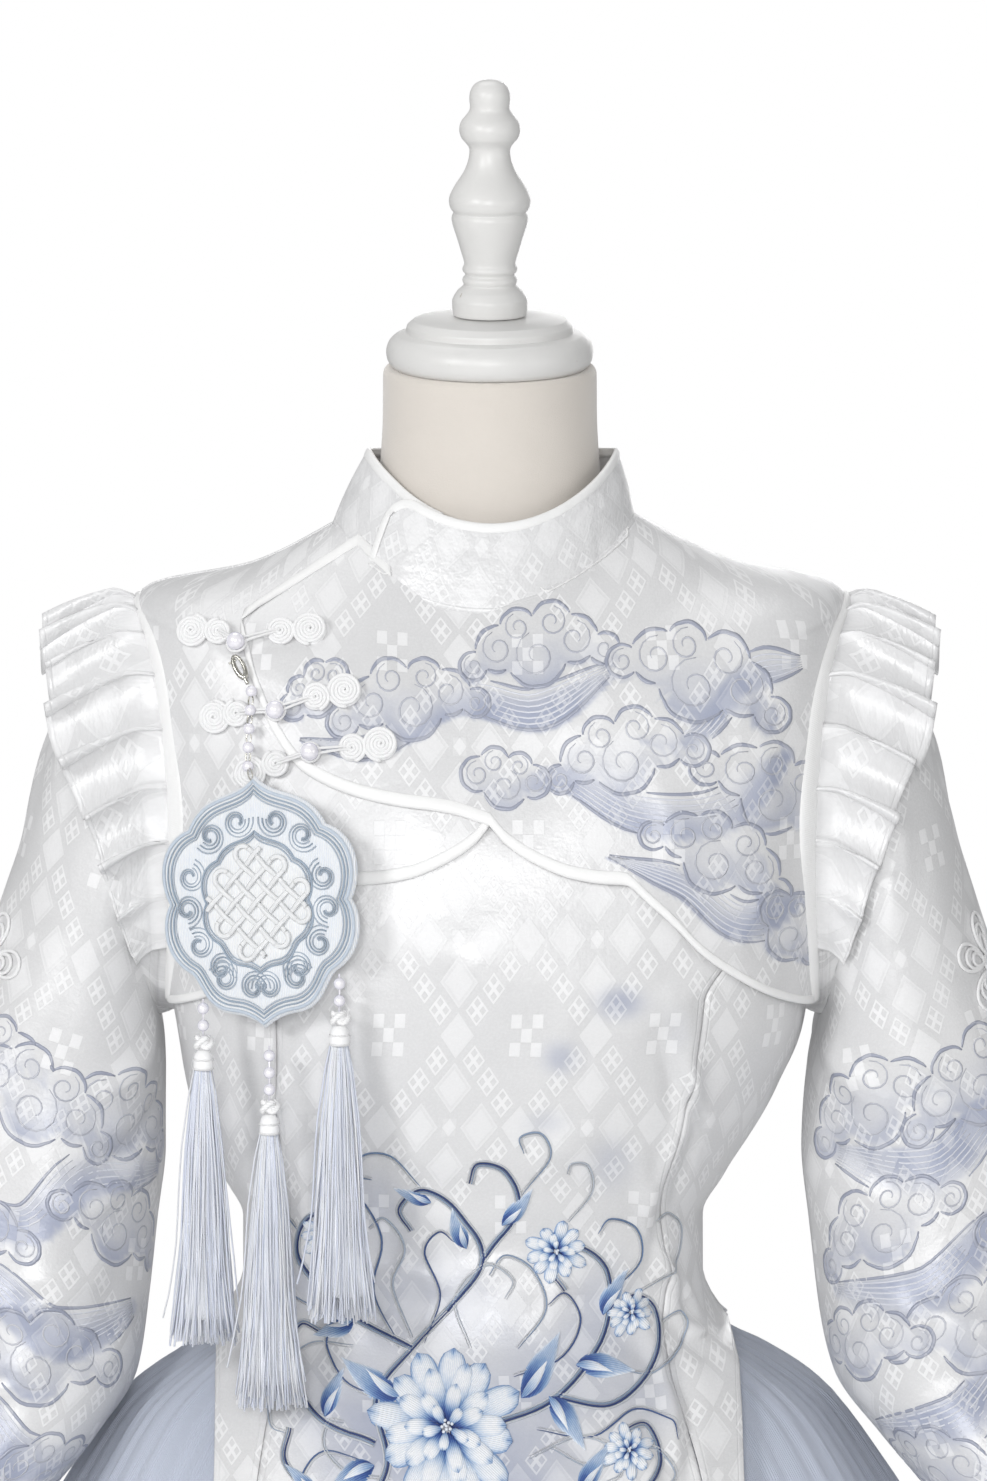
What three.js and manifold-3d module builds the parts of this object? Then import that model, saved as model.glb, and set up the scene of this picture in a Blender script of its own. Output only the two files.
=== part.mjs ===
// A Chinese-style lolita dress set on its limbless dress form: a long satin tunic with a mandarin collar, a
// scalloped yoke with shoulder ruffles, long sleeves, a belled skirt, frog fastenings and a tasselled charm.
// Millimetres, +Z up, +X to the wearer's left, front towards -Y, origin at the centre of the stand's foot.
import * as THREE from "three";
import { mergeVertices } from "three/addons/utils/BufferGeometryUtils.js";
import Module from "manifold-3d";

const wasm = await Module();
wasm.setup();

// ---------------------------------------------------------------- driving sizes
const WALL = 1.4; // of the satin
const GAP = 0.35; // between pieces that are sewn together or lie on each other
const FORM_INSET = 9.5; // how far the form lies inside the tunic
const POLE_RADIUS = 13;
const FOOT = { radius: 180, height: 14, step: 26, hub: 52 };
const BINDING = { width: 6.5, wall: 1 };
const SKIRT = { folds: 14, under: 3.5, depth: 6 };
const RUFFLE = { folds: 18, depth: 8, lift: 4.2 };
const COIL = { big: 9.6, small: 7, wall: 3.6, neck: 1.62 }; // the coiled discs of a frog
const PEARL_RADIUS = 4.6;
const TASSEL = { length: 142, top: 5, bottom: 19, flat: 0.5 };
const TASSEL_CAP = [
  [0, 0],
  [2.5, 0],
  [4.6, 3],
  [5, 10],
  [0, 10],
];
const BEAD_RADIUS = 3;
const KNOT = { radius: 4.6, drop: 4 }; // the knot over a tassel, and how far below it the cap starts
const STRING_RADIUS = 0.9;

const PAINTED_WOOD = { color: 0xf1efeb, roughness: 0.35 };
const LINEN = { color: 0xe6dfd5, roughness: 0.9 };
const SATIN = { color: 0xf0f0f1, roughness: 0.38 };
const BINDING_SATIN = { color: 0xf8f8f8, roughness: 0.35 };
const CHIFFON = { color: 0x9aa3b8, roughness: 0.8 };
const PEARL = { color: 0xeeeaf2, roughness: 0.18 };
const LILAC_THREAD = { color: 0xb9c3e2, roughness: 0.5 };
const SILVER = { color: 0xb9b9b4, roughness: 0.3, metalness: 1 };
const EMBROIDERY = { color: 0xb8c8de, roughness: 0.7 };
const CORD = { color: 0xf5f5f4, roughness: 0.5 };

// ---------------------------------------------------------------- sections
// Rings of the tunic's inner face from the neck down, and on over the skirt, by side, front and back point.
// "square" is the power of the ring's superellipse, and "shift" moves it sideways: the tunic hangs askew.
const TUNIC = [
  // neck
  { sideX: 66, sideZ: 1411, frontY: -62, frontZ: 1370, backY: 52, backZ: 1404, square: 2.0, shift: -1 },
  { sideX: 122, sideZ: 1383, frontY: -84, frontZ: 1330, backY: 76, backZ: 1372, square: 2.15, shift: 0 },
  // shoulder
  { sideX: 182, sideZ: 1366, frontY: -101, frontZ: 1288, backY: 92, backZ: 1330, square: 2.45, shift: 0 },
  // armhole
  { sideX: 174, sideZ: 1262, frontY: -116, frontZ: 1236, backY: 99, backZ: 1252, square: 2.8, shift: 0 },
  // underarm
  { sideX: 166, sideZ: 1150, frontY: -124, frontZ: 1176, backY: 97, backZ: 1160, square: 2.6, shift: 0 },
  { sideX: 155, sideZ: 1110, frontY: -117, frontZ: 1115, backY: 90, backZ: 1110, square: 2.45, shift: -4 },
  { sideX: 133, sideZ: 1064, frontY: -103, frontZ: 1064, backY: 81, backZ: 1064, square: 2.4, shift: -9 },
  // waist
  { sideX: 121, sideZ: 1040, frontY: -97, frontZ: 1040, backY: 77, backZ: 1040, square: 2.4, shift: -9 },
  { sideX: 121, sideZ: 1012, frontY: -98, frontZ: 1012, backY: 80, backZ: 1012, square: 2.4, shift: -9 },
  // slit
  { sideX: 132, sideZ: 987, frontY: -104, frontZ: 987, backY: 88, backZ: 987, square: 2.4, shift: -9 },
  { sideX: 158, sideZ: 971, frontY: -115, frontZ: 970, backY: 106, backZ: 970, square: 2.3, shift: -7 },
  { sideX: 189, sideZ: 949, frontY: -131, frontZ: 948, backY: 130, backZ: 948, square: 2.2, shift: -6 },
  { sideX: 219, sideZ: 908, frontY: -156, frontZ: 908, backY: 160, backZ: 908, square: 2.1, shift: -5 },
  { sideX: 252, sideZ: 853, frontY: -183, frontZ: 853, backY: 191, backZ: 853, square: 2.0, shift: -4 },
  { sideX: 283, sideZ: 785, frontY: -212, frontZ: 785, backY: 223, backZ: 785, square: 2.0, shift: -3 },
  { sideX: 313, sideZ: 700, frontY: -243, frontZ: 700, backY: 257, backZ: 700, square: 2.0, shift: -2 },
  // tunic's hem
  { sideX: 338, sideZ: 620, frontY: -268, frontZ: 620, backY: 283, backZ: 620, square: 2.0, shift: 0 },
  // skirt's hem
  { sideX: 372, sideZ: 480, frontY: -303, frontZ: 480, backY: 318, backZ: 480, square: 2.0, shift: 0 },
];
const NECK = 0;
const SHOULDER = 2;
const ARMHOLE = 3;
const UNDERARM = 4;
const WAIST = 7;
const SLIT = 9;
const TUNIC_HEM = 16;
const SKIRT_HEM = 17;

const ARMHOLE_SPREAD = 20; // degrees to each side of the wearer's side, at its middle
const FLAP = { halfWidth: 136 }; // the tunic's front and back below the slits
// How far round from the centre front the princess seam lies.
const PRINCESS_SEAM = [
  { ring: 3, angle: 70 },
  { ring: 3.5, angle: 56 },
  { ring: 4, angle: 46 },
  { ring: 5, angle: 47.5 },
  { ring: 6, angle: 51 },
  { ring: 7, angle: 56 },
  { ring: 8, angle: 57 },
  { ring: 9, angle: 52.5 },
  { ring: 10, angle: 47 },
  { ring: 11, angle: 44 },
  { ring: 12, angle: 40.5 },
  { ring: 13, angle: 36.7 },
  { ring: 14, angle: 32.6 },
  { ring: 16, angle: 26.9 },
];

// Distance out of the tunic's inner face to each layer's inner face.
const LAYER = { back: 5.1, underlap: 3.2, overlap: 6.5, onUnderlap: 5.2, onOverlap: 9.6 };

// The yoke's cut, in rings below the neck, degrees short of the armhole, and shares across and down.
const YOKE_START = 0.23; // in rings below the neck
const YOKE_INSET = 2.8; // degrees
const YOKE_SHARES = [0, 0.14, 0.28, 0.42, 0.54, 0.64, 0.73, 0.81, 0.87, 0.93, 1];
const YOKE_DEPTHS = [0, 0.14, 0.28, 0.4, 0.49, 0.53, 0.59, 0.7, 0.83, 0.94, 1];
const EDGE_DEPTHS = [0.94, 1];
// Lower edge of the front yoke from the centre to the armhole: two scallops that meet at a cusp.
const YOKE_EDGE = [
  { x: 0, z: 1255 },
  { x: 8, z: 1246 },
  { x: 24, z: 1236 },
  { x: 42, z: 1229 },
  { x: 58, z: 1226.5 },
  { x: 68, z: 1226 },
  { x: 79, z: 1217 },
  { x: 93, z: 1204 },
  { x: 106, z: 1190 },
  { x: 122, z: 1178 },
  { x: 140, z: 1167 },
  { x: 166, z: 1156 },
];
const BACK_YOKE_EDGE = { centre: 1252, armhole: 1176 };
// The overlap's flap crosses to the wearer's right: where it leaves the neckline, and its tip and lower edge.
const FLAP_CORNER = { share: 0.55, degrees: -66 };
const FLAP_TIP = { x: -126, z: 1359 };
const FLAP_BOTTOM = [
  { share: 0, x: 0, z: 1255 },
  { share: 0.12, x: -20, z: 1261 },
  { share: 0.3, x: -47, z: 1265 },
  { share: 0.46, x: -71, z: 1271 },
  { share: 0.64, x: -95, z: 1283 },
  { share: 0.76, x: -108, z: 1300 },
  { share: 0.88, x: -118, z: 1321 },
  { share: 1, x: -128, z: 1350 },
];

// Collar: the seam round the neck and the top edge, by side, front and back point.
const COLLAR_FOOT = { sideX: 75, sideZ: 1410, frontY: -68, frontZ: 1366, backY: 60, backZ: 1404, shift: -3 };
const COLLAR_TOP = { sideX: 61, sideZ: 1446, frontY: -56, frontZ: 1408, backY: 54, backZ: 1445, shift: 1 };
const COLLAR = { outerEnd: -49, innerEnd: 336, step: 3.6 };

// Sleeve sections: the inner and outer edge seen from the front, the middle's y and half the depth.
const SLEEVE = [
  { innerX: 177, innerZ: 1147, outerX: 213, outerZ: 1347, midY: -1, halfDepth: 62 },
  { innerX: 175, innerZ: 1136, outerX: 234, outerZ: 1287, midY: -2, halfDepth: 62 },
  { innerX: 174, innerZ: 1112, outerX: 256, outerZ: 1206, midY: -4, halfDepth: 61 },
  { innerX: 174, innerZ: 1076, outerX: 281, outerZ: 1136, midY: -7, halfDepth: 59 },
  { innerX: 178, innerZ: 1038, outerX: 295, outerZ: 1072, midY: -11, halfDepth: 59 },
  { innerX: 182, innerZ: 1000, outerX: 303, outerZ: 1014, midY: -16, halfDepth: 60 },
  { innerX: 188, innerZ: 960, outerX: 310, outerZ: 958, midY: -24, halfDepth: 61 },
  { innerX: 207, innerZ: 930, outerX: 325, outerZ: 912, midY: -33, halfDepth: 62 },
  { innerX: 231, innerZ: 901, outerX: 348, outerZ: 872, midY: -42, halfDepth: 62 },
  { innerX: 265, innerZ: 858, outerX: 382, outerZ: 828, midY: -52, halfDepth: 63 },
];
const SLEEVE_STAND = 11.5; // how far its head stands off the armhole, over the layers of the yoke
// Corded flowers on the sleeves, in sections down from the armhole and degrees towards the front.
const SLEEVE_FLOWERS = [
  { name: "upper", from: 2.1, to: 3.1, low: 5, high: 50 },
  { name: "lower", from: 3.3, to: 3.85, low: 2, high: 26 },
];

// How wide the shoulder ruffle is, by degrees round the armhole from the top.
const RUFFLE_WIDTH = [
  { degrees: 0, width: 45 },
  { degrees: 55, width: 51 },
  { degrees: 80, width: 38 },
  { degrees: 105, width: 24 },
  { degrees: 127, width: 10 },
];

// Frogs: where the middle of each coil and pearl lies, seen from the front, from the side seam inwards.
const FROGS = [
  { name: "top", part: "outer", x: -155, z: 1347.5 },
  { name: "top", part: "inner", x: -141, z: 1348 },
  { name: "top", part: "pearl", x: -131, z: 1347 },
  { name: "top", part: "near", x: -107.5, z: 1351 },
  { name: "top", part: "far", x: -93, z: 1354 },
  { name: "middle", part: "outer", x: -145, z: 1308 },
  { name: "middle", part: "inner", x: -131, z: 1311 },
  { name: "middle", part: "pearl", x: -110.5, z: 1315 },
  { name: "middle", part: "near", x: -88, z: 1320.5 },
  { name: "middle", part: "far", x: -73, z: 1324 },
  { name: "bottom", part: "outer", x: -120, z: 1281 },
  { name: "bottom", part: "inner", x: -107.5, z: 1286 },
  { name: "bottom", part: "pearl", x: -92, z: 1292 },
  { name: "bottom", part: "near", x: -70, z: 1295 },
  { name: "bottom", part: "far", x: -56, z: 1297 },
];

const CHARM = {
  plaque: { x: -110, z: 1217, roll: 4, width: 112, height: 128, wall: 6, lift: 15 },
  chain: { x: -119, fromZ: 1333, toZ: 1284, pearls: 5, radius: 2.9 },
  strands: [
    { name: "right", x: -146, z: 1166, beads: 2 },
    { name: "middle", x: -112, z: 1143, beads: 3 },
    { name: "left", x: -76, z: 1181, beads: 2 },
  ],
};

// Form: rings of the neck and of the hips, and the turned cap and finial by radius and height above the neck.
const FORM_NECK = [
  { z: 1489, halfX: 55, halfY: 52, y: -5 },
  { z: 1462, halfX: 56.5, halfY: 51, y: -3 },
  { z: 1436, halfX: 58, halfY: 49, y: -2 },
  { z: 1415, halfX: 59, halfY: 48, y: -3 },
];
const FORM_HIPS = [
  { z: 985, halfX: 124, front: -97, back: 82, shift: -6 },
  { z: 940, halfX: 146, front: -105, back: 98, shift: -6 },
  { z: 880, halfX: 158, front: -108, back: 108, shift: -6 },
  { z: 820, halfX: 155, front: -100, back: 100, shift: -6 },
  { z: 790, halfX: 150, front: -94, back: 94, shift: -6 },
];
const NECK_LEAN = 9.5; // degrees towards the front
const NECK_CAP = [
  [0, 0],
  [51, 0],
  [54, 4],
  [54.5, 9],
  [53, 14],
  [48, 17.5],
  [44, 18.5],
  [43.5, 22],
  [40, 25],
  [22, 26.5],
  [0, 27],
];
const FINIAL = [
  [0, 0],
  [19, 0],
  [19.8, 8],
  [17, 13],
  [13.6, 16],
  [14.4, 19],
  [13, 21.5],
  [14.4, 24],
  [13.4, 27],
  [16.5, 38],
  [20, 51],
  [19, 54],
  [21, 57],
  [21, 63],
  [13, 76],
  [10.2, 87],
  [15.6, 93],
  [15.6, 101],
  [10.2, 108],
  [10, 117],
  [0, 123.5],
];

// ---------------------------------------------------------------- small tools
const V = (x, y, z) => new THREE.Vector3(x, y, z);
const radians = THREE.MathUtils.degToRad;
const degreesOf = THREE.MathUtils.radToDeg;
const { clamp, lerp, smoothstep } = THREE.MathUtils;
const group = new THREE.Group();
const SIDES = [
  { side: "left", sign: 1 },
  { side: "right", sign: -1 },
];

// A table's column at a place between its rows, as a smooth curve that doesn't overshoot.
function column(table, key, at, by) {
  const place = by ? (i) => table[i][by] : (i) => i;
  const last = table.length - 1;
  let i = 0;
  while (i < last - 1 && at > place(i + 1)) i++;
  const rise = (k) => (table[k + 1][key] - table[k][key]) / (place(k + 1) - place(k));
  const slope = (k) => {
    if (k === 0) return rise(0);
    if (k === last) return rise(last - 1);
    const [before, after] = [rise(k - 1), rise(k)];
    return before * after <= 0 ? 0 : (2 * before * after) / (before + after);
  };
  const span = place(i + 1) - place(i);
  const t = clamp((at - place(i)) / span, 0, 1);
  const [a, b, fromA, intoB] = [table[i][key], table[i + 1][key], slope(i) * span, slope(i + 1) * span];
  const cubic = (2 * (a - b) + fromA + intoB) * t ** 3;
  return cubic + (3 * (b - a) - 2 * fromA - intoB) * t ** 2 + fromA * t + a;
}

const steps = (from, to, count) => Array.from({ length: count + 1 }, (_, i) => lerp(from, to, i / count));

// Adds a named mesh of that finish.
function add(name, geometry, finish) {
  const mesh = new THREE.Mesh(geometry, new THREE.MeshStandardMaterial(finish));
  mesh.name = name;
  group.add(mesh);
  return mesh;
}

// The geometry with its faces turned to point outwards.
function facingOut(geometry) {
  const p = geometry.attributes.position;
  const index = geometry.index.array;
  const corner = (k) => V(0, 0, 0).fromBufferAttribute(p, index[k]);
  let volume = 0;
  for (let k = 0; k < index.length; k += 3) volume += corner(k).dot(corner(k + 1).cross(corner(k + 2)));
  if (volume < 0) {
    for (let k = 0; k < index.length; k += 3) {
      const second = index[k + 1];
      index[k + 1] = index[k + 2];
      index[k + 2] = second;
    }
  }
  return geometry;
}

function meshOf(points, faces) {
  const geometry = new THREE.BufferGeometry();
  const positions = points.flatMap((p) => [p.x, p.y, p.z]);
  geometry.setAttribute("position", new THREE.Float32BufferAttribute(positions, 3));
  return facingOut(geometry.setIndex(faces));
}

// A wall between two like grids of points, rows[j][i]. A closed one joins its last column to its first.
function wall(inner, outer, closed = false) {
  const rows = inner.length;
  const across = inner[0].length;
  const spans = closed ? across : across - 1;
  const id = (sheet, j, i) => sheet * rows * across + j * across + (i % across);
  const faces = [];
  const quad = (a, b, c, d) => faces.push(a, b, c, a, c, d);
  for (let i = 0; i < spans; i++) {
    for (let j = 0; j < rows - 1; j++) {
      quad(id(1, j, i), id(1, j, i + 1), id(1, j + 1, i + 1), id(1, j + 1, i));
      quad(id(0, j, i), id(0, j + 1, i), id(0, j + 1, i + 1), id(0, j, i + 1));
    }
    quad(id(0, 0, i), id(0, 0, i + 1), id(1, 0, i + 1), id(1, 0, i));
    quad(id(1, rows - 1, i), id(1, rows - 1, i + 1), id(0, rows - 1, i + 1), id(0, rows - 1, i));
  }
  if (!closed) {
    for (let j = 0; j < rows - 1; j++) {
      quad(id(0, j, 0), id(1, j, 0), id(1, j + 1, 0), id(0, j + 1, 0));
      quad(id(1, j, spans), id(0, j, spans), id(0, j + 1, spans), id(1, j + 1, spans));
    }
  }
  return meshOf([...inner.flat(), ...outer.flat()], faces);
}

// A solid through closed rings, with a flat face at each end.
function loft(rings) {
  const across = rings[0].length;
  const middle = (ring) => ring.reduce((sum, p) => sum.add(p), V(0, 0, 0)).divideScalar(across);
  const last = rings.length - 1;
  const points = [...rings.flat(), middle(rings[0]), middle(rings[last])];
  const [topId, bottomId] = [points.length - 2, points.length - 1];
  const faces = [];
  for (let i = 0; i < across; i++) {
    const next = (i + 1) % across;
    faces.push(topId, next, i, bottomId, last * across + i, last * across + next);
    for (let j = 0; j < last; j++) {
      const [a, b, c, d] = [j * across + i, j * across + next, (j + 1) * across + next, (j + 1) * across + i];
      faces.push(a, b, c, a, c, d);
    }
  }
  return meshOf(points, faces);
}

// A grid moved out along its own normals.
function offset(rows, out) {
  const across = rows[0].length;
  const at = (j, i) => {
    const along = rows[j][Math.min(i + 1, across - 1)].clone().sub(rows[j][Math.max(i - 1, 0)]);
    const down = rows[Math.min(j + 1, rows.length - 1)][i].clone().sub(rows[Math.max(j - 1, 0)][i]);
    return rows[j][i].clone().addScaledVector(down.cross(along).normalize(), out);
  };
  return rows.map((row, j) => row.map((_, i) => at(j, i)));
}

// Pulls a grid's edge points in, to leave a seam's gap.
function trimmed(rows, { first = 0, last = 0, top = 0 }) {
  const pull = (p, q, by) => p.addScaledVector(q.clone().sub(p).normalize(), by);
  const right = rows[0].length - 1;
  for (const row of rows) {
    pull(row[0], row[1], first);
    pull(row[right], row[right - 1], last);
  }
  for (let i = 0; i <= right; i++) pull(rows[0][i], rows[1][i], top);
  return rows;
}

function manifoldOf(geometry) {
  const bare = new THREE.BufferGeometry().setAttribute("position", geometry.attributes.position);
  if (geometry.index) bare.setIndex(geometry.index);
  const merged = mergeVertices(bare, 1e-4);
  const vertProperties = new Float32Array(merged.attributes.position.array);
  const triVerts = new Uint32Array(merged.index.array);
  return new wasm.Manifold(new wasm.Mesh({ numProp: 3, vertProperties, triVerts }));
}

function joined(geometries) {
  const mesh = geometries.map(manifoldOf).reduce((a, b) => a.add(b)).getMesh();
  const geometry = new THREE.BufferGeometry();
  geometry.setAttribute("position", new THREE.BufferAttribute(new Float32Array(mesh.vertProperties), 3));
  return geometry.setIndex(new THREE.BufferAttribute(new Uint32Array(mesh.triVerts), 1));
}

// A turned piece about +Z, from [radius, height] pairs that start and end on the axis.
const turned = (profile, sides) =>
  new THREE.LatheGeometry(profile.map(([r, z]) => new THREE.Vector2(r, z)), sides).rotateX(Math.PI / 2);

// The geometry with its +Z turned to a direction and its origin moved to a place.
function placed(geometry, at, axis) {
  const turn = new THREE.Quaternion().setFromUnitVectors(V(0, 0, 1), axis.clone().normalize());
  return geometry.applyQuaternion(turn).translate(at.x, at.y, at.z);
}

// A round rod between two points.
function rod(from, to, radius, sides = 8) {
  const along = to.clone().sub(from);
  const length = along.length();
  return placed(turned([[0, 0], [radius, 0], [radius, length], [0, length]], sides), from, along);
}

const ball = (at, radius) => new THREE.SphereGeometry(radius, 10, 8).translate(at.x, at.y, at.z);

// ---------------------------------------------------------------- the tunic's surface
const TILT_POWER = 1.6; // how a ring's height runs from its sides to its front and back

// Angle 0 is the centre front and 90 degrees the wearer's left.
function tunicPoint(angle, ring) {
  const get = (key) => column(TUNIC, key, ring);
  const [s, c] = [Math.sin(angle), Math.cos(angle)];
  const depth = c >= 0 ? -get("frontY") : get("backY");
  const endZ = c >= 0 ? get("frontZ") : get("backZ");
  const power = get("square");
  const radius = (Math.abs(s / get("sideX")) ** power + Math.abs(c / depth) ** power) ** (-1 / power);
  return V(radius * s + get("shift"), -radius * c, lerp(get("sideZ"), endZ, Math.abs(c) ** TILT_POWER));
}

function onTunic(angle, ring, out) {
  const step = 0.01;
  const along = tunicPoint(angle + step, ring).sub(tunicPoint(angle - step, ring));
  const down = tunicPoint(angle, ring + step).sub(tunicPoint(angle, Math.max(ring - step, 0)));
  return tunicPoint(angle, ring).addScaledVector(down.cross(along).normalize(), out);
}

// The value between two limits where a rising test first turns true.
function solve(low, high, test) {
  for (let k = 0; k < 30; k++) {
    const middle = (low + high) / 2;
    if (test(middle)) high = middle;
    else low = middle;
  }
  return (low + high) / 2;
}

// The angle and ring of the tunic's front at a place seen from the front.
function seenFromFront(x, z) {
  const angleAt = (ring) => solve(-Math.PI / 2, Math.PI / 2, (angle) => tunicPoint(angle, ring).x > x);
  const ring = solve(NECK, SLIT, (place) => tunicPoint(angleAt(place), place).z < z);
  return [angleAt(ring), ring];
}

// A place on the front with the direction out of the cloth there.
function spotOnFront(x, z, out) {
  const [angle, ring] = seenFromFront(x, z);
  const point = onTunic(angle, ring, out);
  return { point, normal: onTunic(angle, ring, out + 1).sub(point) };
}

// Half the side that cloth covers before the armhole's edge, the side seam or the flap's edge.
function sideEdge(ring) {
  const fromMiddle = ring - ARMHOLE;
  if (Math.abs(fromMiddle) < 1) return radians(90 - ARMHOLE_SPREAD * Math.sqrt(1 - fromMiddle * fromMiddle));
  if (ring <= SLIT) return Math.PI / 2;
  const shift = column(TUNIC, "shift", ring);
  return solve(0, Math.PI / 2, (angle) => tunicPoint(angle, ring).x - shift > FLAP.halfWidth);
}

const princess = (ring) =>
  ring < ARMHOLE ? sideEdge(ring) : radians(column(PRINCESS_SEAM, "angle", ring, "ring"));
const armholeRings = (count) => steps(0, Math.PI, count).map((turn) => ARMHOLE - Math.cos(turn));
const SHOULDER_RINGS = [NECK, 0.5, 1, 1.5];
const BODY_RINGS = [4.5, 5, 5.5, 6, 6.5, WAIST, 8, SLIT];
const FLAP_RINGS = [9.4, 10, 10.5, 11, 12, 13, 14.5, TUNIC_HEM];

// A panel of the tunic between two edges, given as angles at each ring.
const cells = (rings, columns, from, to) =>
  rings.map((ring) => steps(from(ring), to(ring), columns).map((angle) => [angle, ring]));

function clothWall(grid, near, thickness, trim = {}) {
  const points = (out) => grid.map((row) => row.map(([angle, ring]) => onTunic(angle, ring, out)));
  const sheet = (out) => trimmed(points(out), trim);
  return wall(sheet(near), sheet(near + thickness));
}

// ---------------------------------------------------------------- dress form
function makeForm() {
  const around = steps(0, 2 * Math.PI, 24).slice(0, -1);
  const lean = Math.tan(radians(NECK_LEAN));
  const neck = FORM_NECK.map(({ z, halfX, halfY, y }) =>
    around.map((a) => V(halfX * Math.sin(a), y - halfY * Math.cos(a), z - halfY * Math.cos(a) * lean)),
  );
  const torso = [NECK, 0.5, 1, 1.5, SHOULDER, 2.5, ARMHOLE, 3.5, UNDERARM, 5, 6, WAIST, 8].map((ring) =>
    around.map((a) => onTunic(a, ring, -FORM_INSET)),
  );
  const hips = FORM_HIPS.map(({ z, halfX, front, back, shift }) =>
    around.map((a) => V(halfX * Math.sin(a) + shift, (Math.cos(a) > 0 ? front : -back) * Math.cos(a), z)),
  );
  add("form_torso", loft([...neck, ...torso, ...hips]), LINEN);
  const axis = V(0, -Math.sin(radians(NECK_LEAN)), Math.cos(radians(NECK_LEAN)));
  const neckTop = V(0, FORM_NECK[0].y, FORM_NECK[0].z);
  const capFoot = neckTop.clone().addScaledVector(axis, GAP);
  add("form_neck_cap", placed(turned(NECK_CAP, 24), capFoot, axis), PAINTED_WOOD);
  const finialFoot = capFoot.clone().addScaledVector(axis, NECK_CAP.at(-1)[1] + GAP);
  add("form_finial", placed(turned(FINIAL, 16), finialFoot, axis), PAINTED_WOOD);
  const { radius, height, step, hub } = FOOT;
  const inner = radius - step;
  const disc = [[0, 0], [radius, 0], [radius, height], [inner, height + 4], [inner, height + 10]];
  const socket = [[60, height + 14], [26, height + 26], [22, height + hub], [0, height + hub]];
  add("form_base", turned([...disc, ...socket], 32), PAINTED_WOOD);
  const from = V(0, 0, height + hub + GAP);
  add("form_pole", rod(from, V(0, 0, FORM_HIPS.at(-1).z - GAP), POLE_RADIUS, 16), PAINTED_WOOD);
}

// ---------------------------------------------------------------- tunic
function makeTunic() {
  const seam = GAP / 2;
  const upper = [...SHOULDER_RINGS, ...armholeRings(8)];
  const whole = [...upper, ...BODY_RINGS, ...FLAP_RINGS];
  const centre = cells(whole, 10, (ring) => -princess(ring), princess);
  add("front_centre", clothWall(centre, 0, WALL, { first: seam, last: seam, top: seam }), SATIN);
  const sideRings = [3.12, 3.38, 3.71, 3.92, UNDERARM, ...BODY_RINGS, ...FLAP_RINGS];
  for (const { side, sign } of SIDES) {
    const panel = cells(sideRings, 4, (ring) => sign * princess(ring), (ring) => sign * sideEdge(ring));
    add(`front_side_${side}`, clothWall(panel, 0, WALL, { first: seam, last: seam }), SATIN);
  }
  const back = cells(whole, 14, (ring) => Math.PI - sideEdge(ring), (ring) => Math.PI + sideEdge(ring));
  add("back", clothWall(back, 0, WALL, { first: seam, last: seam, top: seam }), SATIN);
}

// ---------------------------------------------------------------- yoke
// The yoke's side edge: the ridge of the shoulder, then a little short of the armhole, under its binding.
function yokeEdge(ring) {
  return sideEdge(ring) - radians(YOKE_INSET) * smoothstep(ring, SHOULDER - 0.15, SHOULDER + 0.15);
}

// The ring of the yoke's lower edge: shares run from the centre front to the armhole.
function yokeLowRing(share, sign) {
  return solve(ARMHOLE - 0.9, UNDERARM, (ring) => {
    const point = tunicPoint(sign * share * yokeEdge(ring), ring);
    return point.z < column(YOKE_EDGE, "z", Math.abs(point.x), "x");
  });
}


const yokeHalf = (sign, depths) =>
  depths.map((depth) =>
    YOKE_SHARES.map((share) => {
      const ring = lerp(YOKE_START, yokeLowRing(share, sign), depth);
      return [sign * share * yokeEdge(ring), ring];
    }),
  );

// The upper edge of the overlap's flap: along the neckline to its corner, then straight to its tip.
function flapTop(share) {
  const toCorner = radians(FLAP_CORNER.degrees);
  const corner = tunicPoint(toCorner, YOKE_START);
  if (share < FLAP_CORNER.share) return tunicPoint(toCorner * (share / FLAP_CORNER.share), YOKE_START);
  const along = (share - FLAP_CORNER.share) / (1 - FLAP_CORNER.share);
  return { x: lerp(corner.x, FLAP_TIP.x, along), z: lerp(corner.z, FLAP_TIP.z, along) };
}

// The flap's cells from its outer tip to the centre front.
function flapCells(depths) {
  const shares = [1, 0.94, 0.88, 0.8, 0.7, 0.6, 0.5, 0.4, 0.27, 0.13];
  const top = tunicPoint(0, YOKE_START).z;
  const lowRing = yokeLowRing(0, 1);
  return depths.map((depth) => {
    const down = (top - tunicPoint(0, lerp(YOKE_START, lowRing, depth)).z) / (top - tunicPoint(0, lowRing).z);
    return shares.map((share) => {
      const above = flapTop(share);
      const x = lerp(above.x, column(FLAP_BOTTOM, "x", share, "share"), down);
      return seenFromFront(x, lerp(above.z, column(FLAP_BOTTOM, "z", share, "share"), down));
    });
  });
}

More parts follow.
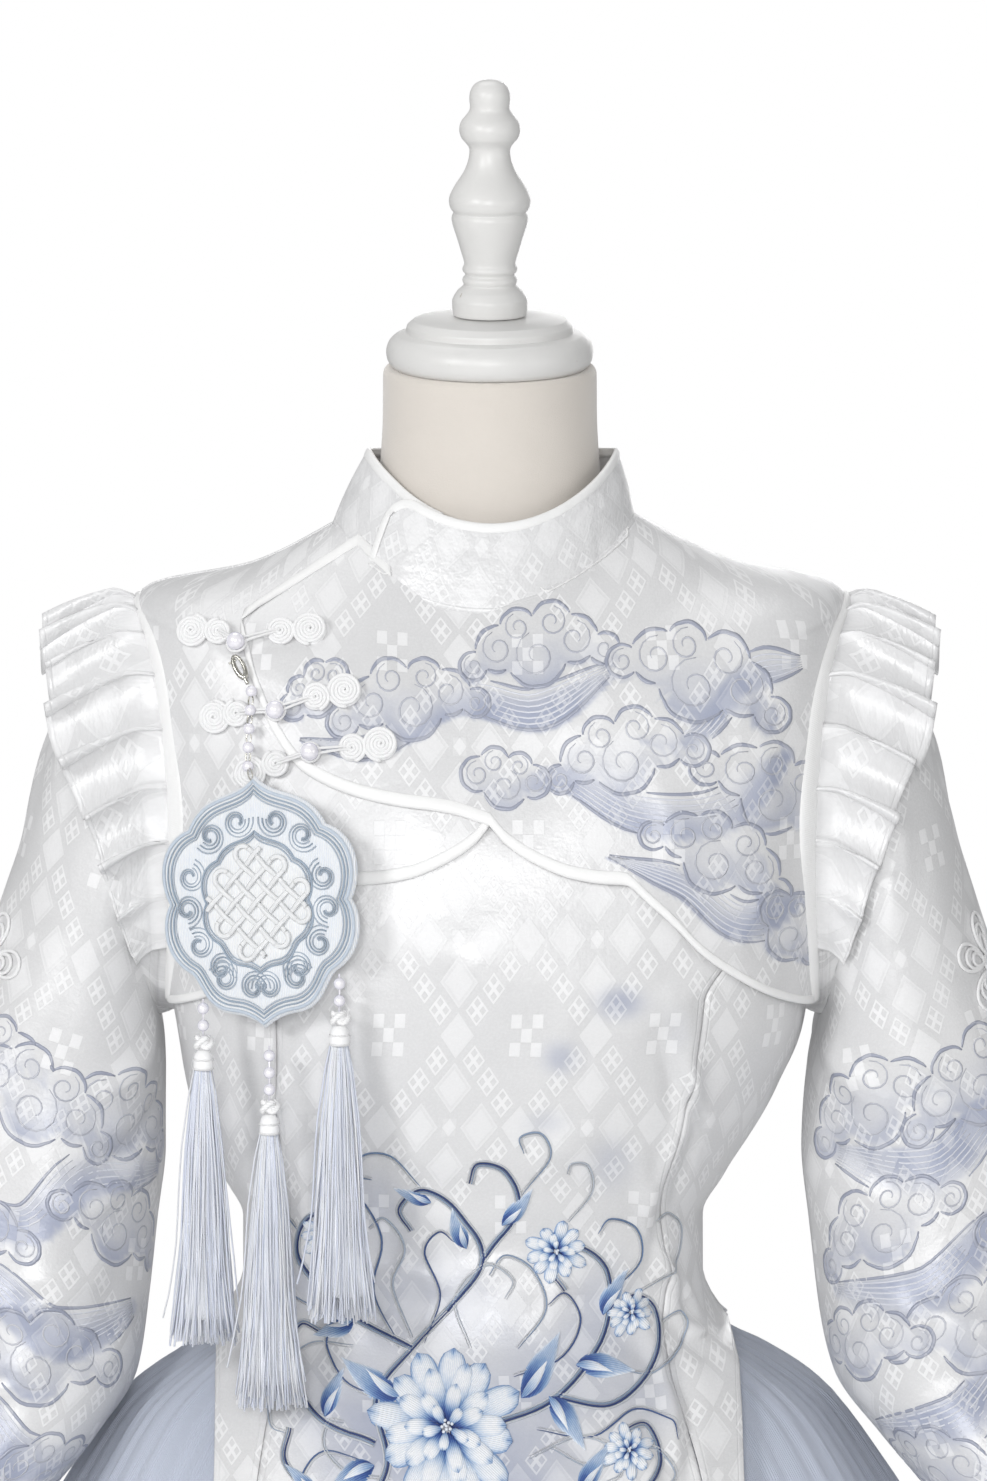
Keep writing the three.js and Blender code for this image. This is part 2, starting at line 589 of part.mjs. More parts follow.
function makeYoke() {
  const seam = GAP / 2;
  const overlap = (depths) => {
    const half = yokeHalf(1, depths);
    return flapCells(depths).map((row, j) => [...row, ...half[j]]);
  };
  const underlap = (depths) => yokeHalf(-1, depths);
  const backLow = (share) => {
    const z = lerp(BACK_YOKE_EDGE.centre, BACK_YOKE_EDGE.armhole, share ** 2);
    return solve(2, UNDERARM, (ring) => tunicPoint(Math.PI - share * yokeEdge(ring), ring).z < z);
  };
  const backShares = [...YOKE_SHARES.slice(1).map((share) => -share).reverse(), ...YOKE_SHARES];
  const back = (depths) =>
    depths.map((depth) =>
      backShares.map((share) => {
        const ring = lerp(YOKE_START, backLow(Math.abs(share)), depth);
        return [Math.PI + share * yokeEdge(ring), ring];
      }),
    );
  const open = { last: seam, top: seam };
  add("yoke_overlap", clothWall(overlap(YOKE_DEPTHS), LAYER.overlap, WALL, open), SATIN);
  add("yoke_underlap", clothWall(underlap(YOKE_DEPTHS), LAYER.underlap, WALL, open), SATIN);
  add("yoke_back", clothWall(back(YOKE_DEPTHS), LAYER.back, WALL, { first: seam, ...open }), SATIN);

  // A band of satin along a lower edge, on top of the piece that it binds.
  const bind = (name, cellsAt, layer, depths = EDGE_DEPTHS) => {
    const sheet = (out) => {
      const row = (cells) => cells.slice(1).map(([angle, ring]) => onTunic(angle, ring, out));
      const [above, edge] = cellsAt(depths).map(row);
      const upper = edge.map((p, i) => above[i].clone().sub(p).setLength(BINDING.width).add(p));
      return trimmed([upper, edge], { first: seam, last: seam });
    };
    const near = layer + WALL + GAP;
    add(name, wall(sheet(near), sheet(near + BINDING.wall)), BINDING_SATIN);
  };
  bind("overlap_binding", overlap, LAYER.overlap);
  const flapEdge = (depths) => flapCells(depths).map((row) => row.slice(1, 6));
  bind("overlap_top_binding", flapEdge, LAYER.overlap, [0.1, 0]);
  bind("underlap_binding", underlap, LAYER.underlap);
  bind("back_yoke_binding", back, LAYER.back + GAP);
}

// ---------------------------------------------------------------- collar
// A point of the collar: share 0 is its foot and 1 its top edge.
function collarPoint(angle, share, out) {
  const mix = (key) => lerp(COLLAR_FOOT[key], COLLAR_TOP[key], share);
  const [s, c] = [Math.sin(angle), Math.cos(angle)];
  const depth = c >= 0 ? -mix("frontY") : mix("backY");
  const endZ = c >= 0 ? mix("frontZ") : mix("backZ");
  const z = lerp(mix("sideZ"), endZ, Math.abs(c) ** TILT_POWER);
  return V((mix("sideX") + out) * s + mix("shift"), -(depth + out) * c, z);
}

// Rows of the collar, which winds inwards from its rounded outer end and runs in under it.
function collarRows(shares, out) {
  return shares.map((share) =>
    steps(COLLAR.outerEnd, COLLAR.innerEnd, 28).map((degrees, i) => {
      const wound = COLLAR.step * clamp((305 - degrees) / 45, 0, 1);
      const rounded = i === 0 ? 0.6 : 1;
      return collarPoint(radians(degrees), share * rounded, wound + out);
    }),
  );
}

function makeCollar() {
  const shares = [0.08, 0.35, 0.7, 1];
  add("collar", wall(collarRows(shares, 0), collarRows(shares, WALL)), SATIN);
  const band = [0.86, 1];
  const near = WALL + GAP;
  add("collar_binding", wall(collarRows(band, near), collarRows(band, near + BINDING.wall)), BINDING_SATIN);
}

// ---------------------------------------------------------------- armholes, ruffles and sleeves
// A point round the armhole's edge: turn 0 is the shoulder, 90 degrees the front.
function armholeEdge(turn, sign, out, inset = 0) {
  const ring = ARMHOLE - Math.cos(turn) * (1 + inset);
  const spread = ARMHOLE_SPREAD * (1 + 3.2 * inset) * Math.sin(turn);
  return onTunic(sign * radians(90 - spread), ring, out);
}

function makeArmholeBinding({ side, sign }) {
  const turns = steps(radians(-150), radians(150), 24);
  const row = (inset, out) => turns.map((turn) => armholeEdge(turn, sign, out, inset));
  const sheet = (out) => [row(0.005, out), row(0.06, out)];
  const near = LAYER.overlap + WALL + BINDING.wall + 2 * GAP;
  add(`armhole_binding_${side}`, wall(sheet(near), sheet(near + BINDING.wall)), BINDING_SATIN);
}

// A point of a sleeve: section 0 is the armhole's seam, and the sections of the table follow it.
function sleevePoint(section, turn, sign, out = 0) {
  const at = (key) => column(SLEEVE, key, Math.max(section - 1, 0));
  const inner = V(at("innerX"), 0, at("innerZ"));
  const outer = V(at("outerX"), 0, at("outerZ"));
  const middle = inner.clone().add(outer).multiplyScalar(0.5);
  const half = outer.sub(inner).multiplyScalar(0.5);
  const point = middle.addScaledVector(half, Math.cos(turn) * (1 + out / half.length()));
  point.y = at("midY") - (at("halfDepth") + out) * Math.sin(turn);
  const round = Math.abs(degreesOf(Math.atan2(Math.sin(turn), Math.cos(turn))));
  const clear = WALL + GAP + SLEEVE_STAND * (1 - smoothstep(round, 158, 178));
  const seam = armholeEdge(turn, 1, 0).add(V(clear, 0, 0));
  seam.addScaledVector(V(0, -Math.sin(turn), Math.cos(turn)), out);
  point.lerp(seam, clamp(1 - section, 0, 1));
  return point.multiply(V(sign, 1, 1));
}

// The ruffle is knife-pleated cloth that stands out over the sleeve's head.
function makeRuffle({ side, sign }) {
  const last = radians(RUFFLE_WIDTH.at(-1).degrees);
  const turns = steps(-last, last, RUFFLE.folds * 2);
  const widthAt = (turn) => column(RUFFLE_WIDTH, "width", Math.abs(degreesOf(turn)), "degrees");
  const rows = [0, 0.35, 1].map((share) =>
    turns.map((turn, i) => {
      const foot = sleevePoint(0.04, turn, sign, WALL + RUFFLE.lift);
      const fold = (i % 2 ? 1 : -1) * RUFFLE.depth * 0.5 * share ** 0.7;
      const facing = V(0, -Math.sin(turn), 0.8 * Math.max(Math.cos(turn), 0)).normalize();
      const away = V(sign, -0.2 * Math.sin(turn), -0.42 * Math.cos(turn / 2)).normalize();
      return foot.addScaledVector(away, widthAt(turn) * share).addScaledVector(facing, 6 * share + fold);
    }),
  );
  add(`ruffle_${side}`, wall(rows, offset(rows, -sign * WALL)), SATIN);
}

function makeSleeve({ side, sign }) {
  const turns = steps(0, 2 * Math.PI, 16).slice(0, -1);
  const sections = steps(0, SLEEVE.length, SLEEVE.length);
  const row = (section, out) => turns.map((turn) => sleevePoint(section, turn, sign, out));
  const sheet = (out) => sections.map((section) => row(section, out));
  add(`sleeve_${side}`, wall(sheet(0), sheet(WALL), true), SATIN);
  for (const { name, from, to, low, high } of SLEEVE_FLOWERS) {
    const rows = (out) =>
      steps(from, to, 3).map((section, j) =>
        steps(low, high, 3).map((degrees, i) => {
          const corner = (j === 0 || j === 3) && (i === 0 || i === 3) ? 0.25 : 0;
          const place = lerp(section, (from + to) / 2, corner);
          return sleevePoint(place, radians(lerp(degrees, (low + high) / 2, corner)), sign, out);
        }),
      );
    add(`sleeve_flower_${side}_${name}`, wall(rows(WALL + 1.6), rows(WALL + 3.2)), CORD);
  }
}

// ---------------------------------------------------------------- skirt
function makeSkirt() {
  const around = steps(0, 2 * Math.PI, SKIRT.folds * 3).slice(0, -1);
  const rings = [7.1, 8, SLIT, 9.6, 10.3, 11, 12, 13.5, 15, SKIRT_HEM];
  const sheet = (out) =>
    rings.map((ring) =>
      around.map((angle) => {
        const grown = clamp((ring - WAIST) / (SKIRT_HEM - WAIST), 0, 1);
        const fold = SKIRT.depth * grown * (0.5 + 0.5 * Math.cos(SKIRT.folds * angle));
        return onTunic(angle, ring, -SKIRT.under - WALL - fold + out);
      }),
    );
  add("skirt", wall(sheet(0), sheet(WALL), true), CHIFFON);
  const band = (out) => [6.4, 7.02].map((ring) => around.map((angle) => onTunic(angle, ring, out)));
  add("skirt_waistband", wall(band(-5.2), band(-3.6), true), CHIFFON);
}

// ---------------------------------------------------------------- frogs and charm
function makeFrog(name) {
  const spot = (part, lift) => {
    const { x, z } = FROGS.find((row) => row.name === name && row.part === part);
    return spotOnFront(x, z, lift);
  };
  const coil = (part, radius, lift) => {
    const { point, normal } = spot(part, lift);
    const { wall: thick } = COIL;
    const profile = [[0, 0], [radius - 1, 0], [radius, thick / 2], [radius - 1, thick], [0, thick]];
    return placed(turned(profile, 12), point, normal);
  };
  const pair = (big, small, lift) => {
    const [from, to] = [big, small].map((part) => spot(part, lift + COIL.wall / 2).point);
    return joined([coil(big, COIL.big, lift), coil(small, COIL.small, lift), rod(from, to, COIL.neck)]);
  };
  add(`frog_${name}_loops`, pair("far", "near", LAYER.onOverlap), CORD);
  add(`frog_${name}_knots`, pair("outer", "inner", LAYER.onUnderlap + BINDING.wall), CORD);
  const seat = spot("pearl", LAYER.onOverlap + PEARL_RADIUS + COIL.wall).point;
  add(`frog_${name}_pearl`, ball(seat, PEARL_RADIUS), PEARL);
}

function plaqueOutline({ width, height }) {
  const [w, h] = [width / 2, height / 2];
  const shape = new THREE.Shape();
  shape.moveTo(0, -h);
  shape.bezierCurveTo(w * 0.2, -h * 0.86, w * 0.32, -h * 0.9, w * 0.42, -h * 0.86);
  shape.bezierCurveTo(w * 0.6, -h * 0.8, w * 0.62, -h * 0.62, w * 0.72, -h * 0.56);
  shape.bezierCurveTo(w * 0.98, -h * 0.44, w * 1.02, -h * 0.16, w * 0.9, 0);
  shape.bezierCurveTo(w * 1.04, h * 0.24, w * 0.96, h * 0.52, w * 0.68, h * 0.6);
  shape.bezierCurveTo(w * 0.5, h * 0.92, w * 0.2, h * 0.8, 0, h);
  shape.bezierCurveTo(-w * 0.2, h * 0.8, -w * 0.5, h * 0.92, -w * 0.68, h * 0.6);
  shape.bezierCurveTo(-w * 0.96, h * 0.52, -w * 1.04, h * 0.24, -w * 0.9, 0);
  shape.bezierCurveTo(-w * 1.02, -h * 0.16, -w * 0.98, -h * 0.44, -w * 0.72, -h * 0.56);
  shape.bezierCurveTo(-w * 0.62, -h * 0.62, -w * 0.6, -h * 0.8, -w * 0.42, -h * 0.86);
  shape.bezierCurveTo(-w * 0.32, -h * 0.9, -w * 0.2, -h * 0.86, 0, -h);
  return shape;
}

function makeCharm() {
  const { plaque, chain, strands } = CHARM;
  const { point, normal } = spotOnFront(plaque.x, plaque.z, plaque.lift);
  const slab = new THREE.ExtrudeGeometry(plaqueOutline(plaque), {
    depth: plaque.wall - 2,
    bevelThickness: 1,
    bevelSize: 1,
    bevelSegments: 1,
    curveSegments: 4,
  });
  const upright = V(0, 0, 1).addScaledVector(normal, -normal.z).normalize();
  const frame = new THREE.Matrix4().makeBasis(upright.clone().cross(normal), upright, normal);
  slab.rotateZ(radians(plaque.roll)).applyMatrix4(frame).translate(point.x, point.y, point.z);
  add("charm_plaque", slab, EMBROIDERY);

  const lift = LAYER.onOverlap + chain.radius + 1;
  const heights = steps(chain.fromZ - 12, chain.toZ, chain.pearls - 1);
  const pearls = heights.map((z) => spotOnFront(chain.x, z, lift).point);
  const links = pearls.slice(1).map((p, i) => rod(pearls[i], p, STRING_RADIUS, 6));
  add("charm_chain", joined([...pearls.map((p) => ball(p, chain.radius)), ...links]), PEARL);
  const hook = spotOnFront(chain.x - 9, chain.fromZ + 4, lift + 1).point;
  const eye = placed(turned([[0, -1], [3.6, -1], [3.6, 1], [0, 1]], 10), hook, V(0, -1, 0));
  add("charm_clasp", joined([rod(pearls[0].clone().lerp(hook, 0.36), hook, 2.2), eye]), SILVER);

  const around = steps(0, 2 * Math.PI, 12).slice(0, -1);
  for (const { name, x, z, beads } of strands) {
    const y = point.y - 9 - (x - plaque.x) * 0.28;
    const down = (by) => V(x, y, z - by);
    const pitch = 2.9 * BEAD_RADIUS;
    const strung = Array.from({ length: beads }, (_, k) => ball(down(BEAD_RADIUS + k * pitch), BEAD_RADIUS));
    const knot = beads * pitch + 3;
    const cap = placed(turned(TASSEL_CAP, 10), down(knot + KNOT.drop), V(0, 0, -1));
    const string = rod(down(0), down(knot + KNOT.drop + 1), STRING_RADIUS, 6);
    add(`charm_beads_${name}`, joined([...strung, string, ball(down(knot), KNOT.radius), cap]), PEARL);
    const top = knot + KNOT.drop + TASSEL_CAP.at(-1)[1] + GAP;
    const ring = (radius, by) =>
      around.map((a) => down(top + by).add(V(radius * Math.cos(a), radius * TASSEL.flat * Math.sin(a), 0)));
    const rings = [
      ring(TASSEL.top, 0),
      ring(TASSEL.top * 1.6, TASSEL.length * 0.15),
      ring(TASSEL.bottom * 0.75, TASSEL.length * 0.65),
      ring(TASSEL.bottom, TASSEL.length),
    ];
    add(`charm_tassel_${name}`, loft(rings), LILAC_THREAD);
  }
}

// ---------------------------------------------------------------- build
makeForm();
makeTunic();
makeYoke();
makeCollar();
SIDES.forEach(makeArmholeBinding);
SIDES.forEach(makeRuffle);
SIDES.forEach(makeSleeve);
makeSkirt();
["top", "middle", "bottom"].forEach(makeFrog);
makeCharm();

export default group;
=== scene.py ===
import math

import bmesh
import bpy
import numpy as np
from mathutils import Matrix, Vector


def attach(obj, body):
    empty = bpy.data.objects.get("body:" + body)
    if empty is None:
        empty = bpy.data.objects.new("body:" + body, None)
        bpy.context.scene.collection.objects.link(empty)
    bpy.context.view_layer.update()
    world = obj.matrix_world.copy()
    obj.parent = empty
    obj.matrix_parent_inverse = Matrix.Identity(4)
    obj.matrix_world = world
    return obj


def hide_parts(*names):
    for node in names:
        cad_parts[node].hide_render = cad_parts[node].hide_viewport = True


bl_info = {
    "name": "Lolita dress set on a dress form",
    "version": (1, 0, 0),
    "blender": (4, 5, 0),
    "location": "View3D > Sidebar > Dress",
    "description": "Builds the tunic, skirt, trims and form around the packed model",
    "category": "Mesh",
}

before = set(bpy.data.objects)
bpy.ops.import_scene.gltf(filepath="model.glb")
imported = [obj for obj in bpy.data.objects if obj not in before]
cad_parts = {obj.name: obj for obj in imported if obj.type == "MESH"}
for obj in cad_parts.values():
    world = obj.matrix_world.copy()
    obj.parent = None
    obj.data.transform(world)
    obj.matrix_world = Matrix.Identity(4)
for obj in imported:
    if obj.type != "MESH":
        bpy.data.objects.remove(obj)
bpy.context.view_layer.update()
MM = 0.001
TURN = 2 * math.pi


# ---------------------------------------------------------------- tables
class Table:
    """Rows of numbers with named columns, read between rows as a smooth curve that doesn't overshoot."""

    def __init__(self, names, *rows):
        self.columns = dict(zip(names.split(), np.array(rows, float).T))

    def at(self, name, where, by=None):
        value = self.columns[name]
        place = self.columns[by] if by else np.arange(len(value), dtype=float)
        rise = np.diff(value) / np.diff(place)
        before, after = rise[:-1], rise[1:]
        same = before * after > 0
        inner = np.where(same, 2 * before * after / np.where(same, before + after, 1), 0)
        slope = np.concatenate([rise[:1], inner, rise[-1:]])
        row = np.clip(np.searchsorted(place, where, side="right") - 1, 0, len(rise) - 1)
        span = place[row + 1] - place[row]
        t = np.clip((where - place[row]) / span, 0, 1)
        start, end = value[row], value[row + 1]
        leave, reach = slope[row] * span, slope[row + 1] * span
        cubic = 2 * (start - end) + leave + reach
        return cubic * t**3 + (3 * (end - start) - 2 * leave - reach) * t**2 + leave * t + start


# Rings of the tunic's inner face from the neck down, and on over the skirt, by side, front and back point.
# "square" is the power of the ring's superellipse, and "shift" moves it sideways: the tunic hangs askew.
TUNIC = Table(
    "side_x side_z front_y front_z back_y back_z square shift",
    (66, 1411, -62, 1370, 52, 1404, 2.0, -1),
    (122, 1383, -84, 1330, 76, 1372, 2.15, 0),
    (182, 1366, -101, 1288, 92, 1330, 2.45, 0),
    (174, 1262, -116, 1236, 99, 1252, 2.8, 0),
    (166, 1150, -124, 1176, 97, 1160, 2.6, 0),
    (155, 1110, -117, 1115, 90, 1110, 2.45, -4),
    (133, 1064, -103, 1064, 81, 1064, 2.4, -9),
    (121, 1040, -97, 1040, 77, 1040, 2.4, -9),
    (121, 1012, -98, 1012, 80, 1012, 2.4, -9),
    (132, 987, -104, 987, 88, 987, 2.4, -9),
    (158, 971, -115, 970, 106, 970, 2.3, -7),
    (189, 949, -131, 948, 130, 948, 2.2, -6),
    (219, 908, -156, 908, 160, 908, 2.1, -5),
    (252, 853, -183, 853, 191, 853, 2.0, -4),
    (283, 785, -212, 785, 223, 785, 2.0, -3),
    (313, 700, -243, 700, 257, 700, 2.0, -2),
    (338, 620, -268, 620, 283, 620, 2.0, 0),
    (372, 480, -303, 480, 318, 480, 2.0, 0),
)
NECK, SHOULDER, ARMHOLE, UNDERARM, WAIST, SLIT, TUNIC_HEM, SKIRT_HEM = 0, 2, 3, 4, 7, 9, 16, 17
ARMHOLE_SPREAD = 20
FLAP_HALF = 136
PRINCESS_SEAM = Table(
    "ring angle",
    (3, 70), (3.5, 56), (4, 46), (5, 47.5), (6, 51), (7, 56), (8, 57), (9, 52.5), (10, 47), (11, 44),
    (12, 40.5), (13, 36.7), (14, 32.6), (16, 26.9),
)
YOKE_START = 0.13
YOKE_INSET = 2.8
YOKE_EDGE = Table(
    "x z",
    (0, 1255), (8, 1246), (24, 1236), (42, 1229), (58, 1226.5), (68, 1226), (79, 1217), (93, 1204),
    (106, 1190), (122, 1178), (140, 1167), (166, 1156),
)
BACK_YOKE = {"centre": 1252, "armhole": 1176}
FLAP_CORNER = {"share": 0.55, "degrees": -66}
FLAP_TIP = (-126, 1359)
FLAP_BOTTOM = Table(
    "share x z",
    (0, 0, 1255), (0.12, -20, 1261), (0.3, -47, 1265), (0.46, -71, 1271), (0.64, -95, 1283),
    (0.76, -108, 1300), (0.88, -118, 1321), (1, -128, 1350),
)
COLLAR_FOOT = {"side_x": 75, "side_z": 1410, "front_y": -68, "front_z": 1366, "back_y": 60, "back_z": 1404, "shift": -3}
COLLAR_TOP = {"side_x": 61, "side_z": 1446, "front_y": -56, "front_z": 1408, "back_y": 54, "back_z": 1445, "shift": 1}
COLLAR = {"outer_end": -49, "inner_end": 336, "step": 3.6}
SLEEVE = Table(
    "inner_x inner_z outer_x outer_z mid_y half_depth",
    (177, 1147, 213, 1347, -1, 62),
    (175, 1136, 234, 1287, -2, 62),
    (174, 1112, 256, 1206, -4, 61),
    (174, 1076, 281, 1136, -7, 59),
    (178, 1038, 295, 1072, -11, 59),
    (182, 1000, 303, 1014, -16, 60),
    (188, 960, 310, 958, -24, 61),
    (207, 930, 325, 912, -33, 62),
    (231, 901, 348, 872, -42, 62),
    (265, 858, 382, 828, -52, 63),
)
SLEEVE_STAND = 8.0
RUFFLE_WIDTH = Table("degrees width", (0, 45), (55, 51), (80, 38), (105, 24), (127, 10))
WALL = 1.4
CREASE_STRENGTH = 1.5  # how many times their tabled height creases stand
AT_EDGE = 0.1  # how far from its edge, in millimetres, cloth without measured edges counts as lying
LAYER = {"underlap": 2.6, "overlap": 5.2, "back": 3.4}

# Creases by their two ends on the flat cloth, across from the middle and up, with half width and height.
FRONT_CREASES = Table(
    "u0 v0 u1 v1 width depth",
    (92, 1150, 128, 1085, 5, 2.6), (104, 1118, 134, 1072, 4, -2.0), (84, 1160, 104, 1096, 6, -1.4),
    (-96, 1150, -128, 1082, 6, 2.2), (-108, 1112, -136, 1066, 5, -1.8),
    (88, 1030, 140, 990, 6, 2.2), (80, 1016, 132, 968, 5, -2.2), (96, 1004, 150, 962, 5, 2.0),
    (70, 992, 118, 940, 7, -1.8), (-88, 1028, -142, 988, 6, 2.2), (-78, 1012, -134, 966, 5, -2.0),
    (-96, 1000, -150, 958, 6, 1.8), (-40, 1052, 30, 1044, 7, 1.1), (-20, 1030, 60, 1036, 6, -1.2),
    (-70, 1022, -8, 1016, 6, 1.2), (10, 1008, 74, 1014, 7, 1.3), (-52, 1096, 8, 1070, 11, 1.3),
    (66, 1110, 20, 1078, 10, 1.2), (-110, 1190, -60, 1160, 9, 1.4), (112, 1186, 66, 1152, 9, 1.3),
    (-58, 960, -74, 860, 9, 1.9), (60, 950, 84, 850, 10, 2.1), (6, 930, -4, 820, 12, 1.5),
    (-34, 870, -52, 700, 13, -2.4), (40, 860, 50, 690, 14, -2.2), (92, 900, 112, 700, 11, 2.4),
    (-96, 890, -112, 690, 11, 2.2), (4, 780, 8, 640, 15, 2.0), (150, 1240, 120, 1190, 8, 1.6),
    (-150, 1250, -122, 1196, 8, 1.5), (64, 1345, 30, 1300, 9, 1.0), (-70, 1350, -30, 1310, 9, 0.9),
    (120, 1330, 146, 1260, 9, 1.3), (-118, 1325, -144, 1262, 9, 1.2), (20, 1215, -46, 1188, 14, 1.0),
    (90, 1002, 101, 884, 5, 2.6), (108, 992, 97, 872, 6, -2.2), (74, 950, 93, 862, 6, 2.0),
    (84, 1090, 96, 1030, 6, 1.8), (100, 1066, 90, 1010, 5, -1.6), (-86, 1084, -96, 1018, 6, 1.8),
    (108, 1140, 92, 1050, 5, 2.2), (118, 1128, 106, 1044, 4, -2.0), (96, 1036, 120, 1000, 4, 2.2),
    (104, 1030, 130, 984, 4, -2.0), (92, 1180, 110, 1120, 7, 1.6), (-104, 1136, -90, 1052, 5, 2.0),
    (-30, 1210, 10, 1150, 12, 0.9), (44, 1180, 20, 1110, 10, 0.9), (-10, 1110, 26, 1050, 9, 0.9),
    (56, 1040, 30, 990, 7, 1.2), (-20, 1066, -48, 1006, 7, 1.2), (84, 1290, 96, 1230, 9, 1.1),
)
BACK_CREASES = Table(
    "u0 v0 u1 v1 width depth",
    (88, 1150, 130, 1088, 6, 2.2), (100, 1114, 136, 1070, 5, -1.8), (-90, 1152, -126, 1086, 6, 2.3),
    (-104, 1112, -136, 1066, 5, -1.7), (-50, 1060, 24, 1050, 8, 1.5), (-26, 1040, 58, 1044, 7, -1.4),
    (-66, 1024, 0, 1020, 7, 1.5), (6, 1010, 80, 1016, 7, 1.4), (84, 1026, 138, 986, 6, 2.1),
    (-80, 1018, -136, 976, 6, 2.2), (-48, 1110, 10, 1082, 12, 1.4), (58, 1120, 14, 1090, 11, 1.2),
    (-30, 1180, -96, 1150, 11, 1.3), (36, 1176, 100, 1146, 11, 1.2), (-60, 940, -80, 780, 11, 2.3),
    (64, 930, 82, 760, 12, 2.2), (4, 900, -6, 740, 14, -2.0), (-28, 800, -44, 650, 14, 2.0),
    (36, 810, 48, 655, 13, 1.9), (120, 1320, 146, 1262, 9, 1.4), (-122, 1318, -146, 1260, 9, 1.3),
    (60, 1350, 20, 1310, 10, 0.9), (-56, 1346, -20, 1304, 10, 0.9),
)
SLEEVE_CREASES = Table(
    "u0 v0 u1 v1 width depth",
    (-30, 1330, 20, 1250, 9, 2.0), (30, 1335, 62, 1240, 9, -1.8), (70, 1310, 96, 1200, 10, 2.2),
    (104, 1290, 128, 1190, 9, -1.8), (-70, 1310, -92, 1210, 10, 2.2), (-104, 1280, -124, 1180, 9, -1.6),
    (150, 1180, 110, 1130, 8, 2.6), (168, 1150, 116, 1092, 7, -2.4), (160, 1110, 100, 1070, 8, 2.6),
    (-152, 1170, -112, 1124, 8, 2.4), (-166, 1120, -110, 1084, 8, -2.2), (60, 1150, 30, 1060, 11, 1.8),
    (-20, 1140, -44, 1050, 12, 1.8), (140, 1050, 70, 1010, 8, 2.8), (150, 1020, 84, 980, 7, -2.6),
    (120, 1000, 52, 966, 8, 2.4), (-130, 1030, -70, 990, 9, 2.4), (-120, 990, -50, 950, 9, -2.0),
    (20, 1010, -10, 930, 12, 1.8), (60, 950, 40, 880, 10, 2.2), (-60, 930, -40, 870, 11, 2.0),
    (0, 1240, 26, 1160, 13, 1.4), (110, 950, 120, 890, 9, -1.8), (-110, 930, -96, 870, 10, 1.8),
)


# ---------------------------------------------------------------- small tools
def unit(vector):
    return vector / np.maximum(np.linalg.norm(vector, axis=-1, keepdims=True), 1e-9)


def stacked(*parts):
    """Points or pairs from coordinates that broadcast together."""
    return np.stack(np.broadcast_arrays(*parts), -1)


def ease(value, low, high):
    t = np.clip((value - low) / (high - low), 0, 1)
    return t * t * (3 - 2 * t)


def solve(low, high, test, shape=()):
    """The value between two limits where a rising test first turns true, for each place at once."""
    low, high = np.full(shape, float(low)), np.full(shape, float(high))
    for _ in range(22):
        middle = (low + high) / 2
        found = test(middle)
        high, low = np.where(found, middle, high), np.where(found, low, middle)
    return (low + high) / 2


def spread(count, rim=0.5):
    """Shares from 0 to 1, closer together near both ends, where a seam turns the cloth in."""
    t = np.linspace(0, 1, count)
    return t - rim * 0.8 / TURN * np.sin(TURN * t)


def inside(outline, places):
    """Which places lie inside a closed outline."""
    x, y = places[..., 0], places[..., 1]
    result = np.zeros(x.shape, bool)
    for (ax, ay), (bx, by) in zip(outline, np.roll(outline, -1, axis=0)):
        if ay == by:
            continue
        crosses = (ay > y) != (by > y)
        result ^= crosses & (x < (bx - ax) * (y - ay) / (by - ay) + ax)
    return result


# ---------------------------------------------------------------- worn surfaces
def tunic_point(angle, ring):
    """A point of the tunic's inner face: angle 0 is the centre front and a quarter turn the wearer's left."""
    angle, ring = np.broadcast_arrays(np.asarray(angle, float), np.asarray(ring, float))
    s, c = np.sin(angle), np.cos(angle)
    ahead = c >= 0
    depth = np.where(ahead, -TUNIC.at("front_y", ring), TUNIC.at("back_y", ring))
    end_z = np.where(ahead, TUNIC.at("front_z", ring), TUNIC.at("back_z", ring))
    side_z, power = TUNIC.at("side_z", ring), TUNIC.at("square", ring)
    radius = (np.abs(s / TUNIC.at("side_x", ring)) ** power + np.abs(c / depth) ** power) ** (-1 / power)
    height = side_z + (end_z - side_z) * np.abs(c) ** 1.6
    return np.stack([radius * s + TUNIC.at("shift", ring), -radius * c, height], axis=-1)


def armhole_edge(turn, out=0.0, inset=0.0):
    """The armhole's edge on the wearer's left: turn 0 is the shoulder and a quarter turn the front."""
    ring = ARMHOLE - np.cos(turn) * (1 + inset)
    spread_degrees = ARMHOLE_SPREAD * (1 + 3.2 * inset) * np.sin(turn)
    return on_skin(tunic_point, np.radians(90 - spread_degrees), ring, out)


def sleeve_point(turn, section, out=0.0):
    """A point of the left sleeve: section 0 is the armhole's seam, and the sections of the table follow it."""
    turn, section = np.broadcast_arrays(np.asarray(turn, float), np.asarray(section, float))
    row = np.maximum(section - 1, 0)
    zero = np.zeros_like(row)
    inner = np.stack([SLEEVE.at("inner_x", row), zero, SLEEVE.at("inner_z", row)], axis=-1)
    outer = np.stack([SLEEVE.at("outer_x", row), zero, SLEEVE.at("outer_z", row)], axis=-1)
    half = (outer - inner) / 2
    reach = np.cos(turn) * (1 + out / np.linalg.norm(half, axis=-1))
    point = (inner + outer) / 2 + half * reach[..., None]
    point[..., 1] = SLEEVE.at("mid_y", row) - (SLEEVE.at("half_depth", row) + out) * np.sin(turn)
    round_degrees = np.abs(np.degrees(np.arctan2(np.sin(turn), np.cos(turn))))
    clear = WALL + 0.35 + SLEEVE_STAND * (1 - ease(round_degrees, 158, 178))
    seam = armhole_edge(turn)
    seam[..., 0] += clear
    seam += np.stack([zero, -np.sin(turn), np.cos(turn)], axis=-1) * out
    return point + (seam - point) * np.clip(1 - section, 0, 1)[..., None]


